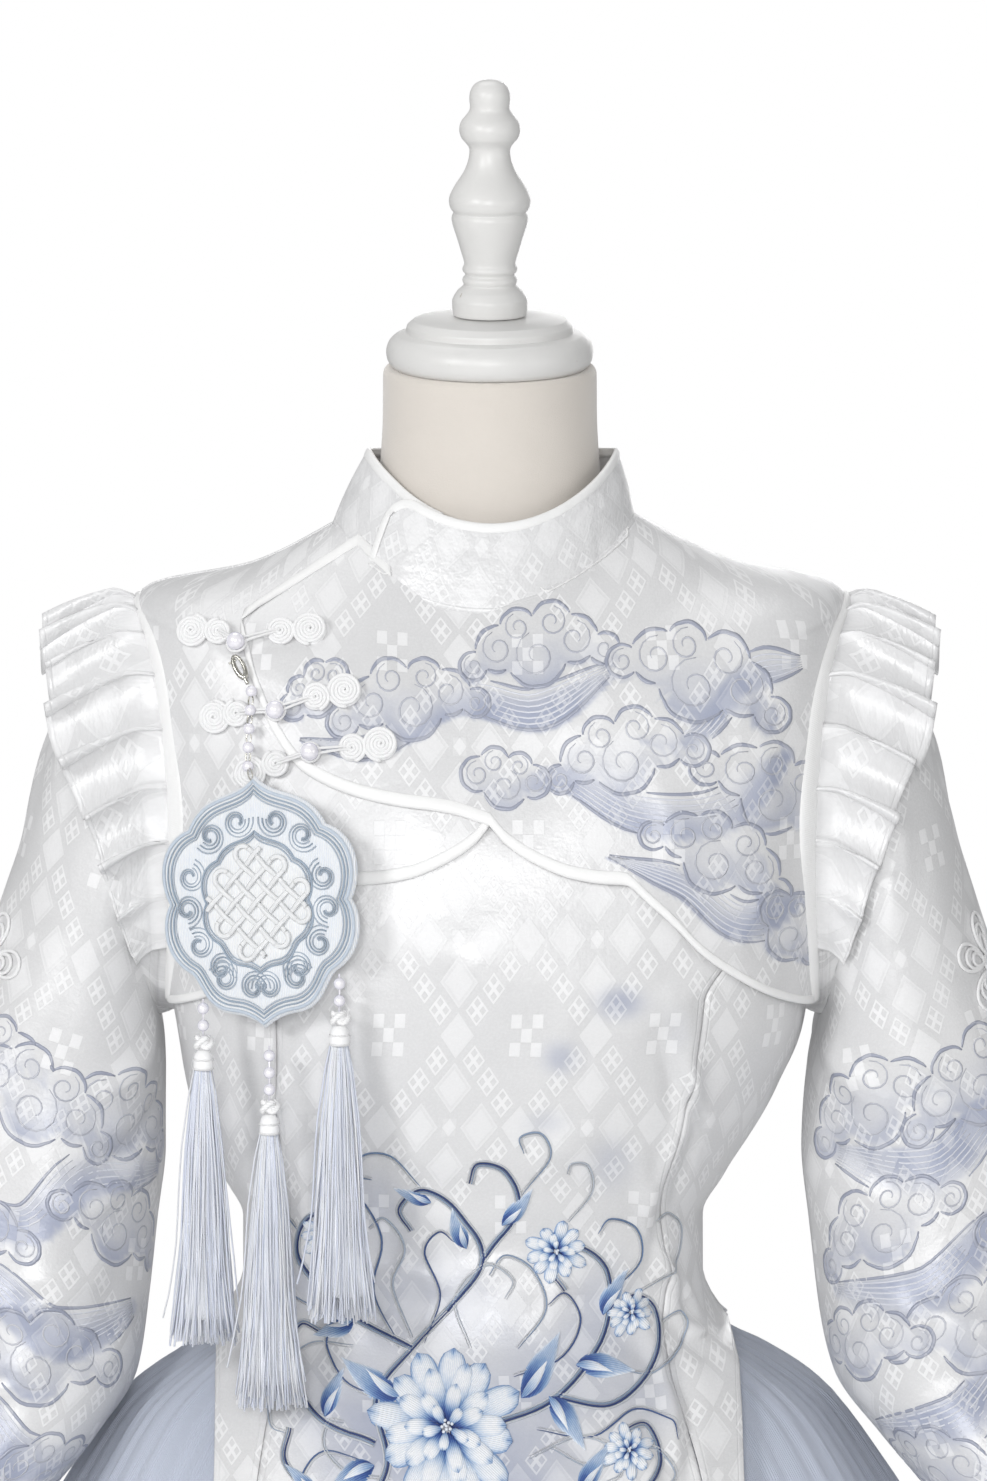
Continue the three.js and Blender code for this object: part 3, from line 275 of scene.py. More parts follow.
def normal_of(point, a, d):
    step = 0.006
    along = point(a + step, d) - point(a - step, d)
    down = point(a, d + step) - point(a, np.maximum(d - step, 0))
    return unit(np.cross(down, along))


def on_skin(point, a, d, out):
    return point(a, d) + normal_of(point, a, d) * np.asarray(out)[..., None]


class Skin:
    """A worn surface with its flat cloth's measures: across from the middle, and up along the grain."""

    def __init__(self, point, limit, down, level, grain, creases):
        self.point, self.limit, self.creases = point, limit, creases
        grain = unit(np.array(grain, float))
        self.a = np.linspace(-limit - 0.02, limit + 0.02, 201)
        self.d = np.linspace(*down, 261)
        grid = point(self.a[None, :], self.d[:, None])
        middle = len(self.a) // 2
        drop = np.linalg.norm(np.diff(grid[:, middle], axis=0), axis=-1)
        fallen = np.concatenate([[0], np.cumsum(drop)])
        self.row_v = level[1] + np.interp(level[0], self.d, fallen) - fallen
        up = grid @ grain
        self.rise = up - up[:, middle : middle + 1]
        moved = np.diff(grid, axis=1)
        run = np.sqrt(np.maximum((moved**2).sum(-1) - (moved @ grain) ** 2, 1e-4))
        run = np.pad(np.cumsum(run, axis=1), ((0, 0), (1, 0)))
        self.u = run - run[:, middle : middle + 1]
        self.reach = np.linspace(self.u.min(), self.u.max(), 261)
        self.turn = np.array([np.interp(self.reach, row, self.a) for row in self.u])

    def _sample(self, values, columns, across, down):
        j = np.clip((down - self.d[0]) / (self.d[1] - self.d[0]), 0, len(self.d) - 1.001)
        i = np.clip((across - columns[0]) / (columns[1] - columns[0]), 0, len(columns) - 1.001)
        j0, i0 = j.astype(int), i.astype(int)
        fj, fi = j - j0, i - i0
        top = values[j0, i0] * (1 - fi) + values[j0, i0 + 1] * fi
        low = values[j0 + 1, i0] * (1 - fi) + values[j0 + 1, i0 + 1] * fi
        return top * (1 - fj) + low * fj

    def flat(self, a, d):
        a, d = np.broadcast_arrays(np.asarray(a, float), np.asarray(d, float))
        v = np.interp(d, self.d, self.row_v) + self._sample(self.rise, self.a, a, d)
        return self._sample(self.u, self.a, a, d), v

    def unflat(self, u, v):
        u, v = np.broadcast_arrays(np.asarray(u, float), np.asarray(v, float))
        rise = np.zeros_like(u)
        for _ in range(12):
            d = np.interp(rise - v, -self.row_v, self.d)
            a = self._sample(self.turn, self.reach, u, d)
            rise = 0.5 * rise + 0.5 * self._sample(self.rise, self.a, a, d)
        return a, d

    def rings(self, top, bottom, count):
        """Rings evenly spaced along the cloth."""
        ends = np.interp([top, bottom], self.d, self.row_v)
        return np.interp(-np.linspace(*ends, count), -self.row_v, self.d)[:, None]

    def lift(self, a, d):
        """How far the creases and the cloth's slight unevenness raise it; its side seams lie flat."""
        u, v = self.flat(a, d)
        rows = self.creases.columns
        total = 0.5 * np.sin(u / 19 + v / 31) + 0.4 * np.sin(u / 13 - v / 27 + 1.3) + 0.25 * np.sin(v / 11 + u / 47)
        for u0, v0, u1, v1, width, depth in zip(*(rows[k] for k in ("u0", "v0", "u1", "v1", "width", "depth"))):
            length = math.hypot(u1 - u0, v1 - v0)
            du, dv = (u1 - u0) / length, (v1 - v0) / length
            t = ((u - u0) * du + (v - v0) * dv) / length
            bow = 0.06 * length * np.sin(math.pi * np.clip(t, 0, 1))
            apart = (u - u0) * dv - (v - v0) * du + bow
            fade = np.clip(1 - (2 * t - 1) ** 2 * 0.72, 0, 1) ** 1.5
            total = total + CREASE_STRENGTH * depth * np.exp(-((apart / width) ** 2)) * fade
        return total * (1 - ease(np.abs(a), self.limit - 0.22, self.limit - 0.02))

    def at(self, a, d, out=0.0):
        return on_skin(self.point, a, d, out + self.lift(a, d))


def back_point(angle, ring):
    return tunic_point(np.asarray(angle) + math.pi, ring)


def left_sleeve_point(angle, section):
    """The left sleeve hangs a little nearer the body than the right one."""
    point = sleeve_point(-np.asarray(angle), section)
    inner = 0.5 - 0.5 * np.cos(angle)
    section = np.asarray(section, float)
    point[..., 0] -= 7 * inner * ease(section, 1.5, 4) * (1 - ease(section, 6, 8.5))
    return point


def right_sleeve_point(angle, section):
    return sleeve_point(angle, section) * np.array([-1, 1, 1])


FRONT = Skin(tunic_point, math.pi / 2, (NECK, TUNIC_HEM), (WAIST, 1040), (0, 0, 1), FRONT_CREASES)
BACK = Skin(back_point, math.pi / 2, (NECK, TUNIC_HEM), (WAIST, 1040), (0, 0, 1), BACK_CREASES)
SLEEVES = {
    1: Skin(left_sleeve_point, math.pi, (0, 10), (5, 1072), (-0.3, 0, 0.954), SLEEVE_CREASES),
    -1: Skin(right_sleeve_point, math.pi, (0, 10), (5, 1072), (0.3, 0, 0.954), SLEEVE_CREASES),
}
SIDES = {"left": 1, "right": -1}


class FrontView:
    """The angle and ring of the tunic's front at places seen from straight ahead, read from a fine chart."""

    def __init__(self, wide, low, high, step):
        self.corner, self.step = np.array([-wide, low], float), step
        x = np.arange(-wide, wide + step, step, dtype=float)[None, :]
        z = np.arange(low, high + step, step, dtype=float)[:, None]
        x, z = np.broadcast_arrays(x, z)

        def angle_at(ring):
            return solve(-math.pi / 2, math.pi / 2, lambda angle: tunic_point(angle, ring)[..., 0] > x, x.shape)

        ring = solve(NECK, UNDERARM + 9, lambda place: tunic_point(angle_at(place), place)[..., 2] < z, x.shape)
        self.chart = np.stack([angle_at(ring), ring], -1)

    def __call__(self, x, z):
        place = (stacked(x, z) - self.corner) / self.step
        place = np.clip(place, 0, np.array(self.chart.shape[1::-1]) - 1.001)
        i, j = place[..., 0].astype(int), place[..., 1].astype(int)
        fi, fj = place[..., :1] - i[..., None], place[..., 1:] - j[..., None]
        low = self.chart[j, i] * (1 - fi) + self.chart[j, i + 1] * fi
        top = self.chart[j + 1, i] * (1 - fi) + self.chart[j + 1, i + 1] * fi
        found = low * (1 - fj) + top * fj
        return found[..., 0], found[..., 1]


seen_from_front = FrontView(180, 880, 1400, 5)


def side_edge(ring):
    """Half the side that cloth covers before the armhole's edge, the side seam or the flap's edge."""
    ring = np.asarray(ring, float)
    from_middle = np.clip(ring - ARMHOLE, -1, 1)
    armhole = np.radians(90 - ARMHOLE_SPREAD * np.sqrt(1 - from_middle**2))
    shift = TUNIC.at("shift", ring)
    flap = solve(0, math.pi / 2, lambda angle: tunic_point(angle, ring)[..., 0] - shift > FLAP_HALF, ring.shape)
    return np.where(np.abs(ring - ARMHOLE) < 1, armhole, np.where(ring <= SLIT, math.pi / 2, flap))


def princess(ring):
    seam = np.radians(PRINCESS_SEAM.at("angle", ring, "ring"))
    return np.where(ring < ARMHOLE, side_edge(ring), seam)


def yoke_edge(ring):
    return side_edge(ring) - math.radians(YOKE_INSET) * ease(ring, SHOULDER - 0.15, SHOULDER + 0.15)


# ---------------------------------------------------------------- meshes
class Piece:
    """A mesh in the making from sheets, cords and solids of one finish."""

    def __init__(self):
        self.bm = bmesh.new()
        self.uv = self.bm.loops.layers.uv.new("UVMap")
        self.tone = self.bm.verts.layers.float.new("tone")
        self.edge = self.bm.verts.layers.float.new("edge")

    def sheet(self, points, flat=None, tone=0.0, edge=None, wrap=False, caps=False, out=None):
        """A grid of points, rows by columns. A wrapped one's last column lies on its first."""
        rows, columns = points.shape[:2]
        made = bmesh.ops.create_grid(self.bm, x_segments=columns - 1, y_segments=rows - 1, size=0.5)["verts"]
        made.sort(key=lambda vert: (round((vert.co.y + 0.5) * (rows - 1)), vert.co.x))
        places = np.ascontiguousarray(points.reshape(-1, 3) * MM)
        tones = np.broadcast_to(tone, (rows, columns)).reshape(-1)
        edges = np.broadcast_to(AT_EDGE if edge is None else edge, (rows, columns)).reshape(-1)
        for index, vert in enumerate(made):
            vert.co = places[index]
            vert.index = index
            vert[self.tone] = tones[index]
            vert[self.edge] = edges[index]
        faces = list(dict.fromkeys(face for vert in made for face in vert.link_faces))
        if flat is not None:
            measures = (flat.reshape(-1, 2) * MM).tolist()
            for face in faces:
                for loop in face.loops:
                    loop[self.uv].uv = measures[loop.vert.index]
        if out is not None:
            hints, agree = out.reshape(-1, 3), 0.0
            for face in faces[:: max(len(faces) // 24, 1)]:
                face.normal_update()
                agree += face.normal.dot(Vector(hints[face.verts[0].index]))
            if agree < 0:
                bmesh.ops.reverse_faces(self.bm, faces=faces)
        ends = [made[:columns], made[-columns:]]
        if wrap:
            seam = [vert for k, vert in enumerate(made) if k % columns in (0, columns - 1)]
            ends = [end[:-1] for end in ends]
            bmesh.ops.remove_doubles(self.bm, verts=seam, dist=1e-7)
            ends = [[vert for vert in end if vert.is_valid] for end in ends]
        if caps:
            for end in ends:
                faces += bmesh.ops.contextual_create(self.bm, geom=end)["faces"]
            faces = [face for face in faces if face.is_valid]
            bmesh.ops.recalc_face_normals(self.bm, faces=faces)
        return faces

    def cord(self, path, radius, up=(0.0, 0.0, 1.0), sides=8, tone=0.0, height=1.0, pitch=1.0, loop=False):
        """A round cord along a path. up says which way its top lies, and height flattens it that way."""
        path = np.asarray(path, float)
        if loop:
            closing = ((path, 2), (radius, 1), (up, 2))
            path, radius, up = (x if np.ndim(x) < n else np.concatenate([x, x[:1]]) for x, n in closing)
            tangent = unit(np.roll(path, -1, axis=0) - np.roll(path, 1, axis=0))
            tangent[[0, -1]] = unit(path[1] - path[-2])
        else:
            tangent = unit(np.gradient(path, axis=0))
        up = np.broadcast_to(np.asarray(up, float), path.shape)
        side = unit(np.cross(tangent, up))
        top = unit(np.cross(side, tangent))
        turn = np.linspace(0, TURN, sides + 1)[None, :, None]
        ring = side[:, None] * np.cos(turn) + top[:, None] * np.sin(turn) * height
        size = np.broadcast_to(radius, len(path))[:, None, None]
        points = path[:, None] + ring * size
        length = np.concatenate([[0], np.cumsum(np.linalg.norm(np.diff(path, axis=0), axis=1))])
        flat = stacked(turn[..., 0] / TURN * 10 * pitch, length[:, None])
        tone = np.broadcast_to(np.asarray(tone), (len(path),))[:, None] if np.ndim(tone) else tone
        return self.sheet(points, flat, tone, wrap=True, caps=not loop)

    def ball(self, centre, radius, tone=0.0, squash=1.0, segments=20):
        made = bmesh.ops.create_uvsphere(self.bm, u_segments=segments, v_segments=segments // 2 + 2, radius=radius * MM)
        for vert in made["verts"]:
            vert.co.z *= squash
            vert.co += Vector(np.asarray(centre) * MM)
            vert[self.tone] = tone
            vert[self.edge] = AT_EDGE

    def turned(self, profile, foot=(0, 0, 0), axis=(0, 0, 1), sides=48, tone=0.0):
        """A turned solid from radius and height pairs that start and end on the axis."""
        before = set(self.bm.verts)
        verts = [self.bm.verts.new((r * MM, 0, h * MM)) for r, h in profile]
        edges = [self.bm.edges.new(pair) for pair in zip(verts, verts[1:])]
        bmesh.ops.spin(
            self.bm, geom=verts + edges, cent=(0, 0, 0), axis=(0, 0, 1), angle=TURN, steps=sides, use_merge=True
        )
        made = [vert for vert in self.bm.verts if vert not in before]
        bmesh.ops.remove_doubles(self.bm, verts=made, dist=1e-6)
        made = [vert for vert in made if vert.is_valid]
        turn = Vector((0, 0, 1)).rotation_difference(Vector(axis).normalized())
        for vert in made:
            vert.co = turn @ vert.co + Vector(np.asarray(foot, float) * MM)
            vert[self.tone] = tone
            vert[self.edge] = AT_EDGE
        bmesh.ops.recalc_face_normals(self.bm, faces=list({face for vert in made for face in vert.link_faces}))

    def done(self, name, finish, slot, nodes=(), wall=0.0, offset=-1.0, bevel=0.0):
        mesh = bpy.data.meshes.new(name)
        self.bm.to_mesh(mesh)
        self.bm.free()
        mesh.shade_smooth()
        mesh.materials.append(finish_of(finish))
        piece = bpy.data.objects.new(name, mesh)
        bpy.context.scene.collection.objects.link(piece)
        if bevel:
            rounded = piece.modifiers.new("Rounded", "BEVEL")
            rounded.width, rounded.segments, rounded.angle_limit = bevel * MM, 3, math.radians(28)
        if wall:
            shell = piece.modifiers.new("Cloth", "SOLIDIFY")
            shell.thickness, shell.offset = wall * MM, offset
        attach(piece, "root")
        if nodes:
            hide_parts(*nodes)
        return piece


def edge_distance(points):
    """How far each point of a grid lies from the nearest of its four edges, along the grid."""
    across = np.linalg.norm(np.diff(points, axis=1), axis=-1)
    down = np.linalg.norm(np.diff(points, axis=0), axis=-1)
    left = np.pad(np.cumsum(across, axis=1), ((0, 0), (1, 0)))
    top = np.pad(np.cumsum(down, axis=0), ((1, 0), (0, 0)))
    return np.minimum.reduce([left, left[:, -1:] - left, top, top[-1:] - top])


def panel(skin, a, d, out, turned_in=0.5):
    """A cloth panel's points, flat measures, distance to its edge and outward direction."""
    a, d = np.broadcast_arrays(a, d)
    edge = edge_distance(skin.point(a, d))
    normal = normal_of(skin.point, a, d)
    dip = turned_in * np.exp(-((edge / 1.8) ** 2))
    points = skin.point(a, d) + normal * (out + skin.lift(a, d) - dip)[..., None]
    return points, np.stack(skin.flat(a, d), axis=-1), edge, normal


# ---------------------------------------------------------------- materials
class Wire:
    """A number inside a material that takes part in sums."""

    def __init__(self, paint, socket):
        self.paint, self.socket = paint, socket

    def __add__(self, other):
        return self.paint.math("ADD", self, other)

    def __sub__(self, other):
        return self.paint.math("SUBTRACT", self, other)

    def __rsub__(self, other):
        return self.paint.math("SUBTRACT", other, self)

    def __mul__(self, other):
        return self.paint.math("MULTIPLY", self, other)

    def __truediv__(self, other):
        return self.paint.math("DIVIDE", self, other)

    def __lt__(self, other):
        return self.paint.math("LESS_THAN", self, other)

    def __gt__(self, other):
        return self.paint.math("GREATER_THAN", self, other)

    def __abs__(self):
        return self.paint.math("ABSOLUTE", self)

    __radd__, __rmul__ = __add__, __mul__


class Paint:
    """A material under a Principled shader, written as sums on wires."""

    def __init__(self, name, **constants):
        self.material = bpy.data.materials.new(name)
        self.material.use_nodes = True
        self.tree = self.material.node_tree
        self.tree.nodes.clear()
        self.surface = self.tree.nodes.new("ShaderNodeBsdfPrincipled")
        output = self.tree.nodes.new("ShaderNodeOutputMaterial")
        self.tree.links.new(self.surface.outputs[0], output.inputs["Surface"])
        self.set(**constants)

    def put(self, socket, value):
        if isinstance(value, Wire):
            self.tree.links.new(value.socket, socket)
        elif socket.type == "RGBA":
            socket.default_value = (*value, 1.0)
        else:
            socket.default_value = value

    def node(self, kind, settings=None, values=None, output=0):
        made = self.tree.nodes.new("ShaderNode" + kind)
        for key, value in (settings or {}).items():
            setattr(made, key, value)
        for key, value in (values or {}).items():
            self.put(made.inputs[key], value)
        return Wire(self, made.outputs[output])

    def set(self, **values):
        for key, value in values.items():
            self.put(self.surface.inputs[key.replace("_", " ").title().replace("Ior", "IOR")], value)

    def math(self, operation, *values):
        return self.node("Math", {"operation": operation}, dict(enumerate(values)))

    def smooth(self, value, low, high):
        values = {"Value": value, "From Min": low, "From Max": high}
        return self.node("MapRange", {"interpolation_type": "SMOOTHSTEP"}, values)

    def mix(self, share, first, second, blend="MIX"):
        return self.node("Mix", {"data_type": "RGBA", "blend_type": blend}, {0: share, 6: first, 7: second}, 2)

    def noise(self, vector, scale, detail=2.0, roughness=0.5, distortion=0.0):
        values = {"Vector": vector, "Scale": scale, "Detail": detail, "Roughness": roughness, "Distortion": distortion}
        return self.node("TexNoise", None, values)

    def bands(self, direction, vector, scale, **more):
        """Soft bands across one direction of a vector."""
        settings = {"wave_type": "BANDS", "bands_direction": direction}
        more = {key.replace("_", " ").title(): value for key, value in more.items()}
        return self.node("TexWave", settings, {"Vector": vector, "Scale": scale, **more})

    def cloth(self):
        """The flat cloth's measures: a vector in metres, and across and up in millimetres."""
        vector = self.node("TexCoord", output="UV")
        parts = self.tree.nodes.new("ShaderNodeSeparateXYZ")
        self.tree.links.new(vector.socket, parts.inputs[0])
        return vector, Wire(self, parts.outputs[0]) * 1000, Wire(self, parts.outputs[1]) * 1000

    def attribute(self, name):
        return self.node("Attribute", {"attribute_name": name}, output="Fac")

    def bump(self, height, distance, strength=1.0):
        self.set(normal=self.node("Bump", None, {"Height": height, "Distance": distance, "Strength": strength}))


LATTICE = {"wide": 70.3, "tall": 98.0}


def jacquard(paint, across, up):
    """The woven figure: a lattice of window squares, with four squares or a small cross in its cells."""
    p = across / LATTICE["wide"] + up / LATTICE["tall"] + 40.452
    q = across / LATTICE["wide"] - up / LATTICE["tall"] + 41.989
    in_p, in_q = paint.math("FRACT", p) - 0.5, paint.math("FRACT", q) - 0.5
    far_p, far_q = abs(in_p), abs(in_q)
    side_p, side_q = 0.5 - far_p, 0.5 - far_q

    def windows(side, along):
        place = abs(paint.math("WRAP", along, 0.116, -0.116))
        whole = (side < 0.082) * (along < 0.348) * (place < 0.084)
        pane = (abs(side - 0.041) < 0.025) * (abs(place - 0.041) < 0.025)
        return whole * (1 - pane)

    figure = paint.math("MAXIMUM", windows(side_p, far_q), windows(side_q, far_p))
    vertex = (side_p < 0.122) * (side_q < 0.122) * 0.62
    figure = paint.math("MAXIMUM", figure, vertex)
    reach = paint.math("MAXIMUM", abs(far_p - 0.218), abs(far_q - 0.218))
    four = (reach < 0.138) * (0.66 - 0.3 * (abs(reach - 0.112) < 0.01))
    core = (far_p < 0.05) * (far_q < 0.05) * 0.6 + (paint.math("ADD", far_p, far_q) < 0.1) * 0.3
    kind = paint.math("FLOORED_MODULO", (p - in_p) + (q - in_q), 2.0)
    sideways = abs(in_p + in_q) * (LATTICE["wide"] / 2)
    upright = abs(in_p - in_q) * (LATTICE["tall"] / 2)
    checker = 1 - abs((sideways > 2.7) - (upright > 3.7))
    cross = (sideways < 8.1) * (upright < 11.1) * checker * 0.9
    diamonds = paint.math("MAXIMUM", four, core)
    in_cell = diamonds + (cross - diamonds) * (abs(kind - 1.0) < 0.5)
    return paint.math("MAXIMUM", figure, in_cell)


def satin(name, ground, figure, ink=None, crinkled=1.0):
    """Jacquard satin. Its tone is the strength of the printed wash, or of the ink where one is given."""
    paint = Paint(
        name, sheen_weight=0.1, sheen_roughness=0.4, specular_ior_level=0.9, coat_weight=0.2, coat_roughness=0.3
    )
    vector, across, up = paint.cloth()
    woven = jacquard(paint, across, up)
    tone = paint.attribute("tone")
    cloudy = paint.noise(vector, 24.0, 4.0, 0.6)
    crinkle = paint.noise(vector, 95.0, 3.0, 0.6)
    grain = paint.noise(vector, 700.0, 3.0, 0.7)
    worked = woven * (0.7 + 0.6 * grain)
    shade = paint.mix(0.6 * cloudy + 0.4 * crinkle, dimmed(ground, 0.90), dimmed(ground, 1.04))
    shade = paint.mix(paint.smooth(grain, 0.35, 0.75) * 0.3, shade, figure)
    colour = paint.mix(worked * 0.95, shade, figure)
    if ink:
        stain = paint.smooth(tone * (0.7 + 0.6 * cloudy), 0.0, 1.0)
        colour = paint.mix(stain * (0.9 - 0.25 * woven), colour, paint.mix(tone > 1.5, ink, (0.66, 0.68, 0.75)))
    else:
        stain = paint.smooth(tone * (0.5 + 1.0 * cloudy), 0.08, 1.05)
        colour = paint.mix(stain * (0.92 - 0.3 * woven), colour, tuple(colours().wash))
    paint.set(base_color=colour, roughness=0.27 + 0.24 * woven + 0.12 * grain)
    seam = paint.attribute("edge")
    stitch = paint.smooth(abs(seam - 3.4), 0.8, 0.0)
    pucker = paint.noise(vector, 130.0, 2.0) * paint.smooth(seam, 16.0, 0.0)
    height = 0.2 * woven + 0.14 * grain - 0.25 * stitch + 0.9 * pucker + 0.5 * cloudy + 0.5 * crinkled * crinkle
    paint.bump(height, 0.0009, 0.85)
    return paint.material


# Thread colours from the darkest to the palest, each with its place on the ramp.
PLAQUE_THREADS = (
    (0.0, (0.20, 0.27, 0.36)), (0.3, (0.36, 0.46, 0.58)), (0.6, (0.58, 0.67, 0.78)), (0.8, (0.74, 0.79, 0.86)),
    (1.0, (0.88, 0.88, 0.87)),
)
SPRAY_THREADS = (
    (0.0, (0.012, 0.028, 0.14)), (0.25, (0.03, 0.085, 0.30)), (0.48, (0.18, 0.30, 0.52)),
    (0.72, (0.52, 0.61, 0.74)), (1.0, (0.86, 0.87, 0.89)),
)
FINISH = {}


def colours():
    return bpy.context.scene.dress_colours


def sizes():
    return bpy.context.scene.dress_sizes


def dimmed(colour, share):
    """A colour made darker, or lighter with a share above 1."""
    return tuple(share * part for part in colour)


def finish_of(name):
    """The material of that name; all are made when one is first asked for."""
    if not FINISH:
        make_finishes()
    return FINISH[name]


def make_finishes():
    look = colours()
    ground, figure = tuple(look.satin_ground), tuple(look.satin_figure)
    FINISH["satin"] = satin("jacquard_satin", ground, figure)
    FINISH["ink"] = satin("printed_lines", ground, figure, ink=tuple(look.ink))
    pale = tuple(0.6 * a + 0.4 * b for a, b in zip(ground, figure))
    FINISH["ruffle"] = satin("ruffle_satin", pale, figure, crinkled=3.6)

    paint = Paint(
        "binding_satin", base_color=tuple(look.binding), sheen_weight=0.15, coat_weight=0.15, coat_roughness=0.3
    )
    vector = paint.node("TexCoord", output="UV")
    ribs = paint.bands("DIAGONAL", vector, 700.0)
    uneven = paint.noise(vector, 160.0, 2.0)
    paint.set(roughness=0.36 + 0.12 * uneven)
    paint.bump(0.12 * ribs + 0.7 * uneven, 0.0006, 0.7)
    FINISH["binding"] = paint.material

    paint = Paint("form_linen", sheen_weight=0.5)
    place = paint.node("TexCoord", output="Object")
    mottle = paint.noise(place, 26.0, 4.0, 0.6)
    threads = paint.noise(place, 1500.0, 2.0)
    paint.set(base_color=paint.mix(mottle, dimmed(look.linen, 0.92), tuple(look.linen)), roughness=0.82 + 0.1 * threads)
    paint.bump(0.6 * threads + 0.6 * mottle, 0.0004, 0.6)
    FINISH["linen"] = paint.material

    paint = Paint("painted_wood", coat_roughness=0.25)
    place = paint.node("TexCoord", output="Object")
    streaks = paint.noise(place, 60.0, 4.0, 0.6, 0.6)
    specks = paint.smooth(paint.noise(place, 210.0, 3.0, 0.7), 0.73, 0.76)
    shade = paint.mix(streaks, dimmed(look.wood, 0.92), tuple(look.wood))
    paint.set(base_color=paint.mix(specks * 0.55, shade, (0.42, 0.36, 0.28)), roughness=0.26 + 0.2 * streaks)
    paint.bump(0.5 * streaks - 0.7 * specks, 0.0005, 0.6)
    FINISH["wood"] = paint.material

    paint = Paint("chiffon", sheen_weight=0.3, sheen_roughness=0.5)
    vector = paint.node("TexCoord", output="UV")
    tone = paint.attribute("tone")
    cloudy = paint.noise(vector, 14.0, 3.0)
    threads = paint.noise(vector, 1100.0, 1.0)
    # The tone mixes the chiffon towards its painted shade colour, set on the skirt's mesh.
    shade = paint.mix(tone, tuple(look.chiffon_painted_shade), tuple(look.chiffon))
    shade = paint.mix(0.35 * cloudy, shade, (0.60, 0.64, 0.74))
    paint.set(base_color=shade, roughness=0.62 + 0.2 * threads)
    crinkle = paint.bands("X", vector, 75.0, distortion=6.0, detail=2.0, detail_scale=0.4)
    paint.bump(0.5 * crinkle + 0.3 * threads, 0.0008, 0.6)
    FINISH["chiffon"] = paint.material

    paint = Paint("pearl", coat_weight=0.7, coat_roughness=0.08, metallic=0.15)
    place = paint.node("TexCoord", output="Object")
    # Painted rim shade: the base colour turns darker and bluer where the surface turns away from the view.
    painted_rim_shade = paint.node("LayerWeight", None, {"Blend": 0.35}, output="Facing")
    lustre = paint.mix(paint.noise(place, 300.0), (0.90, 0.88, 0.95), (0.95, 0.93, 0.93))
    paint.set(base_color=paint.mix(painted_rim_shade, lustre, (0.70, 0.70, 0.84)), roughness=0.2 + 0.08 * painted_rim_shade)
    FINISH["pearl"] = paint.material

    paint = Paint("satin_cord", sheen_weight=0.2)
    vector = paint.node("TexCoord", output="UV")
    twist = paint.bands("DIAGONAL", vector, 420.0)
    paint.set(base_color=paint.mix(twist, (0.92, 0.92, 0.925), (0.97, 0.97, 0.97)), roughness=0.42 + 0.1 * twist)
    paint.bump(twist, 0.0003, 0.7)
    FINISH["cord"] = paint.material

    paint = Paint("tassel_thread", sheen_weight=0.2, specular_ior_level=0.6)
    vector = paint.node("TexCoord", output="UV")
    tone = paint.attribute("tone")
    twist = paint.bands("DIAGONAL", vector, 330.0)
    shade = paint.mix(tone, tuple(look.tassel_shade), tuple(look.tassel))
    paint.set(base_color=paint.mix(0.3 * twist, shade, (0.95, 0.96, 1.0)), roughness=0.3 + 0.15 * twist)
    paint.bump(twist, 0.0002, 0.8)
    FINISH["tassel"] = paint.material

    paint = Paint("polished_silver", metallic=1.0)
    place = paint.node("TexCoord", output="Object")
    wear = paint.noise(place, 500.0, 3.0)
    paint.set(base_color=paint.mix(wear, (0.40, 0.39, 0.34), (0.72, 0.71, 0.66)), roughness=0.16 + 0.2 * wear)
    paint.bump(wear, 0.0002, 0.5)
    FINISH["silver"] = paint.material

    FINISH["plaque"] = embroidery("plaque_stitching", PLAQUE_THREADS, 0.5)
    FINISH["spray"] = embroidery("spray_stitching", SPRAY_THREADS, 0.42)


def embroidery(name, stops, roughness):
    """Satin stitch whose tone runs along a ramp of thread colours."""
    paint = Paint(name, sheen_weight=0.25, sheen_roughness=0.4)
    vector = paint.node("TexCoord", output="UV")
    ramp = paint.tree.nodes.new("ShaderNodeValToRGB")
    while len(ramp.color_ramp.elements) < len(stops):
        ramp.color_ramp.elements.new(0.5)
    for element, (place, colour) in zip(ramp.color_ramp.elements, stops):
        element.position = place
        element.color = (*colour, 1.0)
    stitches = paint.bands("X", vector, 330.0, distortion=1.2, detail_scale=2.0)
    fleck = paint.noise(vector, 420.0, 2.0)
    tone = paint.attribute("tone") + 0.12 * (stitches - 0.5) + 0.16 * (fleck - 0.5)
    paint.put(ramp.inputs[0], tone)
    paint.set(base_color=Wire(paint, ramp.outputs[0]), roughness=roughness + 0.15 * fleck)
    paint.bump(0.8 * stitches + 0.3 * fleck, 0.0003, 0.8)
    return paint.material


# ---------------------------------------------------------------- dress form
FORM_NECK = Table(
    "z half_x half_y y",
    (1489, 55, 52, -5), (1486, 56.2, 53.2, -5), (1462, 56.5, 51, -3), (1436, 58, 49, -2), (1415, 59, 48, -3),
)
FORM_HIPS = Table(
    "z half_x front back",
    (985, 124, -97, 82), (940, 146, -105, 98), (880, 158, -108, 108), (820, 155, -100, 100), (790, 150, -94, 94),
)
HIP_SHIFT = -6
FORM_INSET = 9.5
NECK_LEAN = math.radians(9.5)
NECK_CAP = (
    (0, 0), (50.5, 0), (51, 0), (53.4, 2.6), (54.6, 6), (54.6, 10), (53, 14), (49.5, 17), (48, 17.5), (47.6, 17.6),
    (44.2, 18.3), (44, 18.6), (43.8, 21.6), (43.4, 22.2), (40.5, 24.6), (40, 25), (31, 26.2), (22, 26.6), (0, 27),
)
